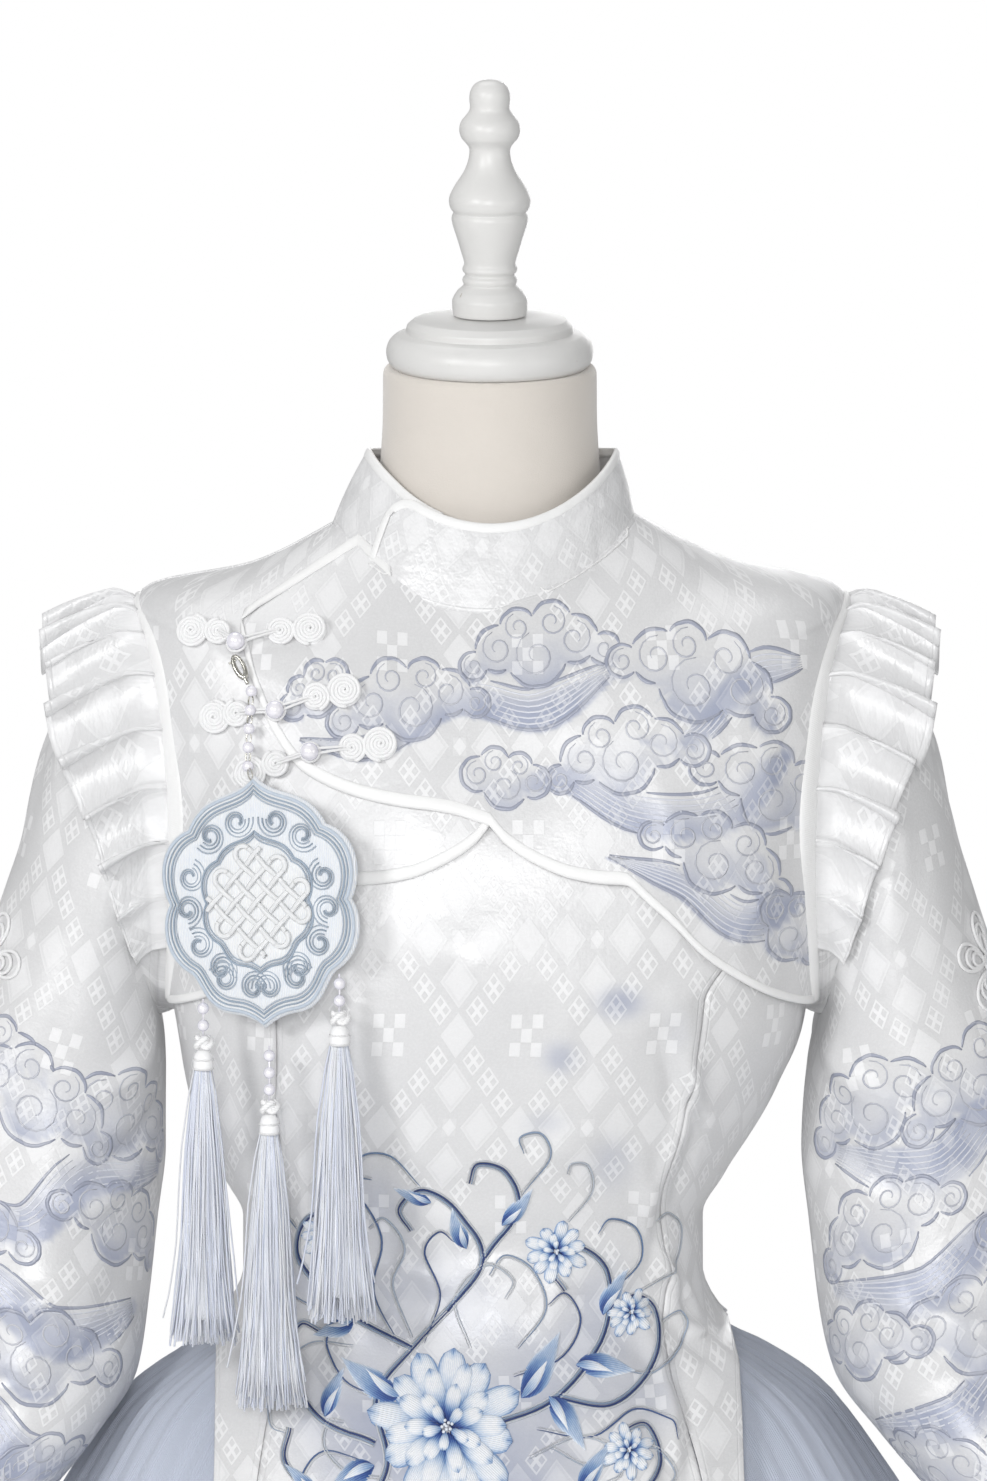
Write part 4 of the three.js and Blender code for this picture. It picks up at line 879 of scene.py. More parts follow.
FINIAL = (
    (0, 0), (19, 0), (19.6, 1), (19.9, 7.4), (19.6, 9), (17.4, 12.6), (16.6, 13.4), (14, 15.6), (13.6, 16.4),
    (14.5, 18), (14.3, 19.8), (13, 21), (13, 22), (14.4, 23.4), (14.4, 25.2), (13.4, 26.8), (13.6, 28.6), (15, 33),
    (17, 40), (19.4, 47), (20.2, 51), (19.6, 53.2), (19, 54), (19.4, 54.8), (20.8, 56.4), (21.6, 60), (21, 63.4),
    (18, 69), (14, 74.6), (11.6, 80), (10.6, 85), (10.7, 88), (12.6, 90.6), (15, 93), (16.2, 97), (15.4, 101.4),
    (12.8, 104.6), (10.8, 107), (10.2, 109.4), (10.8, 113), (10.4, 117.4), (8.4, 121), (4.6, 123), (0, 123.5),
)
BASE = (
    (0, 0), (177, 0), (180, 2), (180, 11), (177, 14), (160, 16.5), (155, 18), (154, 22), (151, 24), (110, 26),
    (60, 28), (40, 32), (28, 39), (25, 44), (24, 58), (22.5, 64), (20, 66), (0, 66),
)
POLE_RADIUS = 13
POLE_ENDS = (66.35, 789.65)


def softened(profile, rounds=2):
    """A turned profile with its corners cut round, as paint and sanding leave them."""
    for _ in range(rounds):
        cut = [profile[0], profile[1]]
        for (r0, h0), (r1, h1) in zip(profile[1:], profile[2:]):
            cut += [(r0 * 0.75 + r1 * 0.25, h0 * 0.75 + h1 * 0.25), (r0 * 0.25 + r1 * 0.75, h0 * 0.25 + h1 * 0.75)]
        profile = cut + [profile[-1]]
    return profile


def build_form():
    piece = Piece()
    turn = np.linspace(0, TURN, 89)[None, :]
    row = np.linspace(0, 4, 30)[:, None]
    half_y = FORM_NECK.at("half_y", row)
    height = FORM_NECK.at("z", row) - half_y * np.cos(turn) * math.tan(NECK_LEAN)
    neck = stacked(FORM_NECK.at("half_x", row) * np.sin(turn), FORM_NECK.at("y", row) - half_y * np.cos(turn), height)
    ring = np.linspace(NECK, 8, 50)[:, None]
    torso = on_skin(tunic_point, turn, ring, np.full((50, 89), -FORM_INSET))
    row = np.linspace(0, 4, 18)[:, None]
    depth = np.where(np.cos(turn) > 0, FORM_HIPS.at("front", row), -FORM_HIPS.at("back", row))
    hips = stacked(FORM_HIPS.at("half_x", row) * np.sin(turn) + HIP_SHIFT, depth * np.cos(turn), FORM_HIPS.at("z", row))
    piece.sheet(np.concatenate([neck, torso, hips]), wrap=True, caps=True)
    piece.done("form_cover", "linen", "linen", ("form_torso",), bevel=0.8)

    axis = np.array([0, -math.sin(NECK_LEAN), math.cos(NECK_LEAN)])
    foot = np.array([0, -5, 1489]) + axis * 0.35
    piece = Piece()
    piece.turned(softened(NECK_CAP), foot, axis, 80)
    piece.done("turned_neck_cap", "wood", "painted_wood", ("form_neck_cap",))
    piece = Piece()
    piece.turned(softened(FINIAL), foot + axis * 27.35, axis, 52)
    piece.done("turned_finial", "wood", "painted_wood", ("form_finial",))
    piece = Piece()
    piece.turned(softened(BASE), sides=96)
    piece.done("round_foot", "wood", "painted_wood", ("form_base",))
    piece = Piece()
    low, high = POLE_ENDS
    rim = POLE_RADIUS - 0.6
    profile = ((0, low), (rim, low), (POLE_RADIUS, low + 0.8), (POLE_RADIUS, high - 0.8), (rim, high), (0, high))
    piece.turned(profile, sides=40)
    piece.done("pole", "wood", "painted_wood", ("form_pole",))


# ---------------------------------------------------------------- tunic
def cloth(name, nodes, grid, finish="satin", slot="satin", tone=0.0, wall=WALL, wrap=False):
    points, flat, edge, out = grid
    piece = Piece()
    piece.sheet(points, flat, tone, edge, wrap=wrap, out=out)
    return piece.done(name, finish, slot, nodes, wall=wall)


# Soft patches of wash on the front: place, half width, half height and strength.
PATCHES = (
    (66, 1166, 15, 10, 0.7), (36, 1138, 13, 11, 0.6), (28, 1104, 14, 9, 0.5), (96, 1150, 10, 16, 0.35),
    (-36, 1010, 50, 30, 0.55), (30, 972, 50, 26, 0.5), (-70, 950, 40, 36, 0.6), (58, 1012, 22, 30, 0.5),
    (-60, 1060, 26, 22, 0.5), (-10, 900, 70, 34, 0.45), (62, 1080, 16, 18, 0.5),
    (8, 930, 60, 30, 0.5), (84, 960, 16, 20, 0.35), (-96, 1016, 16, 20, 0.3), (-60, 820, 40, 30, 0.3),
    (40, 780, 44, 30, 0.3),
)


def patches_on(grid):
    x, z = grid[0][..., 0], grid[0][..., 2]
    return sum(force * np.exp(-(((x - u) / wide) ** 2) - ((z - v) / tall) ** 2) for u, v, wide, tall, force in PATCHES)


def build_tunic():
    ring = FRONT.rings(NECK, TUNIC_HEM, 190)
    seam = 0.9985
    share = spread(90) * 2 - 1
    grid = panel(FRONT, share * princess(ring) * seam, ring, WALL)
    front = cloth("tunic_front", ("front_centre",), grid, tone=patches_on(grid))
    ring = FRONT.rings(3.12, TUNIC_HEM, 170)
    near, far = princess(ring) * 1.0015, side_edge(ring) * seam
    for side, sign in SIDES.items():
        grid = panel(FRONT, sign * (near + (far - near) * spread(26)), ring, WALL)
        piece = cloth(f"tunic_side_{side}", (f"front_side_{side}",), grid, tone=patches_on(grid))
    ring = BACK.rings(NECK, TUNIC_HEM, 122)
    share = spread(70) * 2 - 1
    back = cloth("tunic_back", ("back",), panel(BACK, share * side_edge(ring) * seam, ring, WALL))


# ---------------------------------------------------------------- yoke
def yoke_low_ring(share, sign):
    def below(ring):
        point = tunic_point(sign * share * yoke_edge(ring), ring)
        return point[..., 2] < YOKE_EDGE.at("z", np.abs(point[..., 0]), "x")

    return solve(ARMHOLE - 0.9, UNDERARM, below, share.shape)


def yoke_half(sign, share, depth):
    ring = YOKE_START + (yoke_low_ring(share, sign) - YOKE_START) * depth[:, None]
    return sign * share * yoke_edge(ring), ring


def flap_cells(share, depth):
    """The overlap's flap that crosses to the wearer's right, from shares of its width and depth."""
    corner = math.radians(FLAP_CORNER["degrees"])
    corner_at = tunic_point(corner, YOKE_START)
    beyond = np.clip((share - FLAP_CORNER["share"]) / (1 - FLAP_CORNER["share"]), 0, 1)
    neckline = tunic_point(corner * np.minimum(share / FLAP_CORNER["share"], 1), YOKE_START)
    top_x = neckline[..., 0] + (FLAP_TIP[0] - corner_at[0]) * beyond
    top_z = neckline[..., 2] + (FLAP_TIP[1] - corner_at[2]) * beyond
    low = yoke_low_ring(np.zeros(1), 1)[0]
    top, bottom = tunic_point(0, YOKE_START)[2], tunic_point(0, low)[2]
    down = (top - tunic_point(0, YOKE_START + (low - YOKE_START) * depth)[..., 2]) / (top - bottom)
    down = down[:, None]
    x = top_x + (FLAP_BOTTOM.at("x", share, "share") - top_x) * down
    z = top_z + (FLAP_BOTTOM.at("z", share, "share") - top_z) * down
    return seen_from_front(x, z)


def bound(piece, edge, inner, normal, width=None, under=1.9, crown=1.0):
    """A folded band over a cloth edge: down its outer face, round the edge and under it."""
    width = width or sizes().binding_width / MM
    inward = unit(inner - edge)
    normal = unit(normal - inward * (normal * inward).sum(-1, keepdims=True))
    across = np.array([1, 0.985, 0.93, 0.8, 0.6, 0.4, 0.2, 0.06, -0.04, -0.09, -0.06, 0.1, 0.5, 0.9]) * width
    height = np.array([0.0, 0.45, 0.85, 1.1, 1.25, 1.25, 1.15, 0.9, 0.4, -0.4, -1.2, -1.0, -1.0, -1.0])
    height = np.where(height > -1, height * crown, height)
    height = np.where(height <= -1, -under, height)
    run = np.concatenate([[0], np.cumsum(np.linalg.norm(np.diff(edge, axis=0), axis=1))])
    uneven = 0.14 * np.sin(run / 4.7) * np.sin(run / 11.3 + 1)
    raised = height + np.where(height > 0.3, uneven[:, None], 0)
    points = edge[:, None] + inward[:, None] * across[None, :, None] + normal[:, None] * raised[..., None]
    flat = stacked(run[:, None], np.cumsum(np.abs(np.gradient(across))) + 0.0)
    piece.sheet(points, flat, edge=100.0, out=normal[:, None] * np.ones((1, len(across), 1)))


def binding(name, nodes, *runs, **sizes):
    piece = Piece()
    for edge, inner, normal in runs:
        bound(piece, edge, inner, normal, **sizes)
    return piece.done(name, "binding", "binding_satin", nodes, wall=0.45)


def outline_of(points):
    """A grid's outline as seen from the front."""
    rim = np.concatenate([points[0], points[1:, -1], points[-1, -2::-1], points[-2:0:-1, 0]])
    return rim[:, [0, 2]]


def build_yoke():
    depth = spread(92, 0.3)
    half = yoke_half(1, spread(72, 0.2), depth)
    flap = flap_cells(np.linspace(1, 0.018, 58), depth)
    a, d = (
        np.concatenate([np.broadcast_to(x, (len(depth), x.shape[-1])) for x in pair], 1) for pair in zip(flap, half)
    )
    over = panel(FRONT, a, d, LAYER["overlap"] + WALL, 0.2)
    edge = outline_of(over[0])
    clouds = yoke_clouds()
    tone = wash_of(clouds, over[0][..., [0, 2]])
    printed = cloth("printed_overlap", ("yoke_overlap",), over, tone=tone)
    lines = print_lines("yoke_print", cloud_strokes(clouds), edge, LAYER["overlap"] + WALL + 0.12, "ink", "satin")

    share = spread(64, 0.2)
    a, d = yoke_half(-1, share, depth)
    under = panel(FRONT, a, d, LAYER["underlap"] + WALL, 0.2)
    plain = cloth("plain_underlap", ("yoke_underlap",), under)

    depth = spread(46, 0.3)
    share = np.linspace(-1, 1, 71)
    centre, armhole = BACK_YOKE["centre"], BACK_YOKE["armhole"]
    low_z = centre + (armhole - centre) * share**2 - 5 * np.abs(np.sin(share * math.pi * 1.5))
    low = solve(2, UNDERARM, lambda ring: back_point(share * yoke_edge(ring), ring)[..., 2] < low_z, share.shape)
    ring = YOKE_START + (low - YOKE_START) * depth[:, None]
    behind = panel(BACK, share * yoke_edge(ring), ring, LAYER["back"] + WALL, 0.2)
    rear = cloth("plain_back_yoke", ("yoke_back",), behind)

    def low_edge(grid, columns=slice(None)):
        points, _, _, out = grid
        return points[-1, columns], points[-8, columns], out[-1, columns]

    low = binding("overlap_edge", ("overlap_binding",), low_edge(over))
    under_low = binding("underlap_edge", ("underlap_binding",), low_edge(under), under=1.5)
    rear_low = binding("back_yoke_edge", ("back_yoke_binding",), low_edge(behind))
    points, _, _, out = over
    crossing = slice(0, 37)
    strip = (points[0, crossing], points[7, crossing], out[0, crossing])
    cross = binding("overlap_cross_edge", ("overlap_top_binding",), strip, width=9.0)


# ---------------------------------------------------------------- collar
def collar_point(degrees, share, out):
    def between(key):
        return COLLAR_FOOT[key] + (COLLAR_TOP[key] - COLLAR_FOOT[key]) * share

    angle = np.radians(degrees)
    s, c = np.sin(angle), np.cos(angle)
    wound = COLLAR["step"] * np.clip((305 - degrees) / 45, 0, 1) + out
    depth = np.where(c >= 0, -between("front_y"), between("back_y"))
    end_z = np.where(c >= 0, between("front_z"), between("back_z"))
    height = between("side_z") + (end_z - between("side_z")) * np.abs(c) ** 1.6
    return stacked((between("side_x") + wound) * s + between("shift"), -(depth + wound) * c, height)


def softened_line(path, rounds=6):
    for _ in range(rounds):
        path = np.concatenate([path[:1], (path[:-2] + 2 * path[1:-1] + path[2:]) / 4, path[-1:]])
    return path


def build_collar():
    corner_side = np.linspace(COLLAR["outer_end"], -30, 34)[:-1]
    degrees = np.concatenate([corner_side, np.linspace(-30, COLLAR["inner_end"], 210)])
    degrees = degrees[None, :]
    length = (degrees - COLLAR["outer_end"]) * 1.2
    radius, tall = 17.0, 40.0
    corner = np.clip(radius - length, 0, radius)
    full = 1 - (radius - np.sqrt(radius**2 - corner**2)) / tall
    share = np.linspace(-0.1, 1, 18)[:, None] * full
    pucker = 0.3 * np.sin(length / 2.9 + np.sin(length / 17) * 2) * np.exp(-np.maximum(share, 0) * 7)
    bulge = 0.9 * np.sin(math.pi * share) + pucker
    points = collar_point(degrees, share, WALL + bulge)
    out = unit(collar_point(degrees, share, WALL + 6) - collar_point(degrees, share, WALL))
    flat = stacked(length, share * tall + 1370)
    piece = cloth("collar_band", ("collar",), (points, flat, edge_distance(points), out), "ruffle", wall=1.2)
    rim = np.concatenate([points[1:-1, 0], points[-1]])
    across, down = unit(np.gradient(points[4], axis=0)), unit(points[0] - points[9])
    sideways = (corner / radius)[0][:, None]
    turning = across * sideways + down * np.sqrt(1 - sideways**2)
    inner = rim + np.concatenate([np.repeat(across[:1], len(points) - 2, 0), turning])
    normal = np.concatenate([out[1:-1, 0], out[-1]])
    edge = binding("collar_edge", ("collar_binding",), (rim, inner, normal), width=5.0, under=1.4, crown=0.8)
    turn = np.linspace(COLLAR["outer_end"] + 3, 72, 120)
    welt, yoke = Piece(), place_in_front(LAYER["overlap"] + WALL + 0.25)
    tries = np.linspace(0.3, -0.08, 39)[:, None]
    stands = collar_point(turn[None, :], tries, WALL)
    under, _, normal = yoke(stands[..., 0], stands[..., 2])
    first = np.argmax(stands[..., 1] > under[..., 1], axis=0)
    picked = (first, np.arange(len(turn)))
    line = softened_line(under[picked])
    welt.cord(line, 0.55 * (1 + 0.25 * np.sin(np.arange(len(turn)) * 1.7)), normal[picked], 6)
    seam = welt.done("collar_foot_seam", "binding", "binding_satin")


# ---------------------------------------------------------------- armholes, ruffles and sleeves
def mirrored(points, sign):
    return points * np.array([sign, 1, 1])


def layer_at(turn, sign):
    """How high the uppermost yoke piece stands round an armhole."""
    front = LAYER["overlap"] if sign > 0 else LAYER["underlap"]
    return LAYER["back"] + (front - LAYER["back"]) * ease(np.sin(turn), -0.12, 0.12)


def build_armholes():
    for side, sign in SIDES.items():
        turn = np.radians(np.linspace(-150, 150, 150))[:, None]
        share = np.linspace(0, 1, 13)[None, :]
        inset = -0.01 + 0.092 * share
        crown = 3.4 * np.sin(math.pi * share) ** 0.5 - 1.5
        out = layer_at(turn, sign) + WALL + crown
        points = armhole_edge(turn, out, inset)
        facing = unit(armhole_edge(turn, out + 5, inset) - armhole_edge(turn, out, inset))
        run = stacked(turn * 100, share * 7)
        piece = Piece()
        piece.sheet(mirrored(points, sign), run, edge=100.0, out=mirrored(facing, sign))
        edge = piece.done(f"armhole_edge_{side}", "binding", "binding_satin", (f"armhole_binding_{side}",), wall=0.9)


def build_ruffles():
    for side, sign in SIDES.items():
        folds, each = sizes().ruffle_pleats, 22
        s = np.linspace(0, folds, folds * each + 1)[None, :]
        share = np.linspace(0, 1, 22)[:, None]
        odd = np.sin(np.floor(s + 0.25) * 2.4 * (1 + 0.13 * sign) + 0.7)
        calm = 1 - 0.75 * ease(np.abs(s / folds * 2 - 1), 0.72, 0.98)
        lean = (0.15 + 0.1 * share) * (1 + 0.18 * odd) * calm
        last = math.radians(127)
        turn = last * ((s - lean * np.sin(TURN * s)) / folds * 2 - 1)
        turn = np.clip(turn, -last, last)
        round_degrees = np.abs(np.degrees(turn))
        width = RUFFLE_WIDTH.at("width", round_degrees, "degrees") * (1 + 0.035 * odd)
        foot = sleeve_point(turn, 0.04, WALL + 4.2)
        tall = (2.4 + 4.6 * share**0.7) * (1 + 0.2 * odd) * ease(width, 8, 44)
        wave = tall * np.cos(TURN * s) + 0.9 * share * np.sin(TURN * s * 2 + odd)
        facing = unit(np.stack([0 * turn, -np.sin(turn), 0.8 * np.maximum(np.cos(turn), 0)], -1))
        away = unit(np.stack([1 + 0 * turn, -0.2 * np.sin(turn), -0.42 * np.cos(turn / 2)], -1))
        droop = 5.5 * share**2
        points = foot + away * (width * share)[..., None] + facing * (6 * share + wave - droop * 0.4)[..., None]
        points[..., 2] -= droop
        start = armhole_edge(turn, layer_at(turn, sign) + WALL - 0.6 + 0.5 * np.cos(TURN * s), 0.03)
        points = start + (points - start) * ease(share, -0.03, 0.14)[..., None]
        points = mirrored(points, sign)
        along, down = np.gradient(points, axis=1), np.gradient(points, axis=0)
        normal = unit(np.cross(along, down)) * sign
        hint = mirrored(facing, sign)
        normal *= np.sign((normal * hint).sum(-1).mean())
        flat = stacked(s * 27, -share * width + 1300)
        edge = np.broadcast_to((1 - share) * 46 + 0.2, width.shape)
        ruffle = cloth(f"shoulder_ruffle_{side}", (f"ruffle_{side}",), (points, flat, edge, normal), "ruffle", wall=1.0)


def build_sleeves():
    for side, sign in SIDES.items():
        skin = SLEEVES[sign]
        ring = skin.rings(0, 10, 130)
        a = np.linspace(-math.pi, math.pi, 113)[None, :]
        grid = panel(skin, a, ring, WALL)
        share = np.linspace(0, 1, 7)[:-1, None, None]
        turn = -sign * a
        root = mirrored(armhole_edge(turn, np.full(turn.shape, WALL / 2), 0.03), sign)
        joint = root + (grid[0][:1] - root) * share
        grid = tuple(
            np.concatenate([first, rest])
            for first, rest in zip(
                (joint, np.repeat(grid[1][:1], 6, 0), np.repeat(grid[2][:1], 6, 0) + 9, np.repeat(grid[3][:1], 6, 0)),
                grid,
            )
        )
        clouds = sleeve_clouds(sign)
        tone = wash_of(clouds, grid[1])
        sleeve = cloth(f"long_sleeve_{side}", (f"sleeve_{side}",), grid, tone=tone, wrap=True)
        outline = np.array([(-185, 790), (185, 790), (185, 1178), (-185, 1178)])
        place = place_on(skin, WALL + 0.12)
        lines = print_lines(f"sleeve_print_{side}", cloud_strokes(clouds), outline, None, "ink", "satin", place)
        build_flowers(side, sign, skin)


def petal_line(length, width, lean, count=26):
    t = np.linspace(0, TURN, count, endpoint=False)
    x = width / 2 * np.sin(t) * (1 - 0.25 * np.cos(t))
    y = length * (0.5 - 0.5 * np.cos(t))
    return np.stack([x * math.cos(lean) + y * math.sin(lean), -x * math.sin(lean) + y * math.cos(lean)], -1)


def build_flowers(side, sign, skin):
    """Flowers of couched cord: five petals of nested loops round a ring, on a short stalk with leaves."""
    for name, u, v, size, tilt in (("upper", 26, 1182, 1.0, 0.1), ("lower", 16, 1112, 0.52, -0.3)):
        piece = Piece()
        place = place_on(skin, WALL)
        lines = []
        for k in range(5):
            lean = TURN * k / 5 + tilt
            for grow in (1.0, 0.72, 0.46):
                line = petal_line(22 * grow, 14 * grow, lean) * size
                root = np.array([math.sin(lean), math.cos(lean)]) * 5.5 * size
                lines.append((line + root, True))
        ring = np.linspace(0, TURN, 22, endpoint=False)
        for radius in (4.6, 2.4):
            lines.append((np.stack([np.sin(ring), np.cos(ring)], -1) * radius * size, True))
        if name == "upper":
            for lean, reach in ((2.6, 24), (3.7, 24)):
                root = np.array([3 * math.sin(lean), -24])
                lines += [(petal_line(reach * grow, 9 * grow, lean) + root, True) for grow in (1.0, 0.6)]
            lines.append((np.stack([2.5 * np.sin(np.linspace(0, 3, 16)), np.linspace(-22, -46, 16)], -1), False))
        for line, loop in lines:
            across, up = u * sign * -1 + line[:, 0], v + line[:, 1]
            points, _, normal = place(across, up)
            path = points + normal * 0.9
            piece.cord(path, 1.05 * (0.85 + 0.15 * size), normal, 6, height=0.85, loop=loop)
        piece.done(f"corded_flower_{side}_{name}", "cord", "cord", (f"sleeve_flower_{side}_{name}",))


# ---------------------------------------------------------------- skirt
# Rings of the skirt's rows, closer together near the waistband.
SKIRT_RINGS = (7.1, 7.7, 8.3, 9, 9.6, 10.3, 11, 12, 13.2, 14.5, 15.8, 17)


def build_skirt():
    a = np.linspace(0, TURN, 417)[None, :]
    ring = np.interp(np.linspace(0, 1, 44), np.linspace(0, 1, len(SKIRT_RINGS)), SKIRT_RINGS)[:, None]
    grown = np.clip((ring - WAIST) / (SKIRT_HEM - WAIST), 0, 1)
    fold = 9 * grown**0.8 * (0.5 + 0.5 * np.cos(14 * a + 0.5 * np.sin(3 * a)))
    drift = 0.7 * np.sin(5 * a + 0.3 * ring) + 0.5 * np.sin(ring * 0.9 + 2 * a)
    fine = 0.5 + 0.5 * np.sin(92 * a + 3.0 * drift)
    finer = 0.5 + 0.5 * np.sin(127 * a - 4.0 * drift + 1)
    gather = (0.8 + 1.9 * grown**0.5) * (0.7 * fine + 0.45 * finer * (1 - 0.5 * grown))
    points = on_skin(tunic_point, a, ring, -3.4 - fold - gather)
    facing = normal_of(tunic_point, a + 0 * ring, ring + 0 * a)
    radius = np.hypot(points[..., 0], points[..., 1])
    flat = np.stack([np.broadcast_to(a * 560 / TURN * 8, radius.shape), points[..., 2]], -1)
    # Painted shade in the tone: darker near the top, under the tunic's hem, and in the valleys of the folds.
    tone = np.clip(0.25 + 0.85 * ease(1040 - points[..., 2], 0, 170) - 0.3 * fold / 9, 0, 1)
    piece = Piece()
    piece.sheet(points, flat, tone, wrap=True, out=facing)
    skirt = piece.done("gathered_skirt", "chiffon", "chiffon", ("skirt",), wall=0.7)


# ---------------------------------------------------------------- printed and sewn motifs
def place_on(skin, out):
    """Puts places on the flat cloth in space: points, flat measures and directions out."""

    def place(u, v):
        a, d = skin.unflat(u, v)
        return skin.at(a, d, np.full(a.shape, float(out))), np.stack([u, v], -1), normal_of(skin.point, a, d)

    return place


def place_in_front(out):
    """The same for places given as seen from the front."""

    def place(x, z):
        a, d = seen_from_front(x, z)
        points = FRONT.at(a, d, np.full(a.shape, float(out)))
        return points, np.stack(FRONT.flat(a, d), -1), normal_of(tunic_point, a, d)

    return place


# Lobes of a curling cloud, by place and size, and which way each curls in.
CLOUD_LOBES = (
    (0, 0, 1.0, 1), (1.35, 0.42, 0.78, -1), (-1.3, 0.36, 0.74, 1), (0.62, 1.05, 0.66, -1), (-0.55, 0.98, 0.6, 1),
    (2.35, -0.02, 0.52, -1), (-2.2, -0.12, 0.46, 1),
)


class Cloud:
    def __init__(self, x, z, size, turn=0.0, flip=1, lobes=7):
        self.place, self.size, self.flip = np.array([x, z], float), size, flip
        self.turn = np.array([[math.cos(turn), -math.sin(turn)], [math.sin(turn), math.cos(turn)]])
        self.lobes = CLOUD_LOBES[:lobes]

    def laid(self, local):
        return (np.asarray(local, float) * [self.flip, 1]) @ self.turn.T * self.size + self.place

    def wash(self, places):
        """How much of the wash lies at these places."""
        total = np.zeros(places.shape[:-1])
        for x, z, r, _ in self.lobes:
            away = np.linalg.norm(places - self.laid((x, z)), axis=-1) / (r * self.size)
            depth = 0.5 - 0.32 * np.clip((places[..., 1] - self.place[1]) / self.size, -1.2, 1.5)
            wash = np.clip(depth * (0.5 + 0.6 * np.clip(away, 0, 1)), 0.06, 0.9)
            total = np.maximum(total, (1 - ease(away, 0.8, 1.06)) * wash)
        return total

    def strokes(self):
        """Its lines as paths with widths."""
        lines = []
        for i, (x, z, r, curl) in enumerate(self.lobes):
            t = np.linspace(0, TURN, 36)
            scallop = 1 + 0.035 * np.abs(np.sin(4 * t + i))
            arc = np.stack([x + r * scallop * np.cos(t), z + r * scallop * np.sin(t)], -1)
            hidden = np.zeros(len(t), bool)
            for j, (ox, oz, other, _) in enumerate(self.lobes):
                if j != i:
                    hidden |= np.hypot(arc[:, 0] - ox, arc[:, 1] - oz) < other
            for part in visible_runs(arc, ~hidden, closed=True):
                lines.append((self.laid(part), 2.1, 1.1))
            t = np.linspace(0, 1, 19)
            angle = curl * (1.2 + t * 8.4) + (0.6 if curl > 0 else math.pi - 0.6)
            reach = r * (0.78 - 0.6 * t)
            lines.append((self.laid(np.stack([x + reach * np.cos(angle), z + reach * np.sin(angle)], -1)), 1.0, 0.6))
        return lines


class Stream:
    """A band of drifting mist: parallel lines over a graded wash, wide at its start and narrow at its end."""

    def __init__(self, half, lines, *knots):
        self.half, self.count = half, lines
        self.path = smooth_path(knots, 30)
        way = unit(np.gradient(self.path, axis=0))
        self.side = np.stack([-way[:, 1], way[:, 0]], -1)
        t = np.linspace(0, 1, 30)
        self.reach = half * (1 - 0.65 * t) * ease(t, -0.15, 0.25) * (1 - 0.9 * ease(t, 0.75, 1.05))

    def wash(self, places):
        away = np.linalg.norm(places[..., None, :] - self.path, axis=-1) / self.reach
        near = away.min(-1)
        side = ((places[..., None, :] - self.path) * self.side).sum(-1)
        across = np.take_along_axis(side, away.argmin(-1)[..., None], -1)[..., 0] / self.half
        along = away.argmin(-1) / len(self.path)
        wash = np.clip(0.72 + 0.5 * across + 0.22 * np.sin(9 * along + self.half), 0.25, 1)
        return (1 - ease(near, 0.7, 1.15)) * wash

    def strokes(self):
        return [
            (
                self.path + self.side * (self.reach * share)[:, None],
                0.95 if abs(share) < 0.99 else 1.8,
                2.0 if abs(share) < 0.99 else 0.95,
            )
            for share in np.linspace(-1, 1, self.count)
        ]


def visible_runs(path, shown, closed=False):
    """The stretches of a path that show, as separate paths."""
    if closed and not shown.all():
        first = int(np.argmin(shown))
        path, shown = np.roll(path[:-1], -first, axis=0), np.roll(shown[:-1], -first)
    runs, start = [], None
    for k, on in enumerate([*shown, False]):
        if on and start is None:
            start = k
        if not on and start is not None:
            if k - start > 3:
                runs.append(path[start:k])
            start = None
    return runs


def yoke_clouds():
    return [
        Stream(15, 9, (152, 1290), (118, 1262), (74, 1262), (36, 1280), (-4, 1268)),
        Stream(13, 8, (160, 1214), (126, 1206), (98, 1226), (60, 1240)),
        Stream(12, 8, (60, 1330), (24, 1312), (-16, 1318), (-60, 1294), (-96, 1298)),
        Stream(10, 7, (156, 1336), (130, 1330), (104, 1300), (70, 1300)),
        Cloud(142, 1266, 16, -0.5, -1), Cloud(24, 1338, 15, 0.1, 1), Cloud(104, 1324, 17, -0.35, 1),
        Cloud(-40, 1312, 15, 0.15, -1), Cloud(68, 1286, 15, 0.2, 1), Cloud(8, 1274, 11, -0.1, -1, lobes=5),
        Cloud(112, 1236, 15, -0.5, 1), Cloud(150, 1196, 12, -0.8, -1, lobes=5), Cloud(-88, 1318, 9, 0.6, 1, lobes=5),
    ]


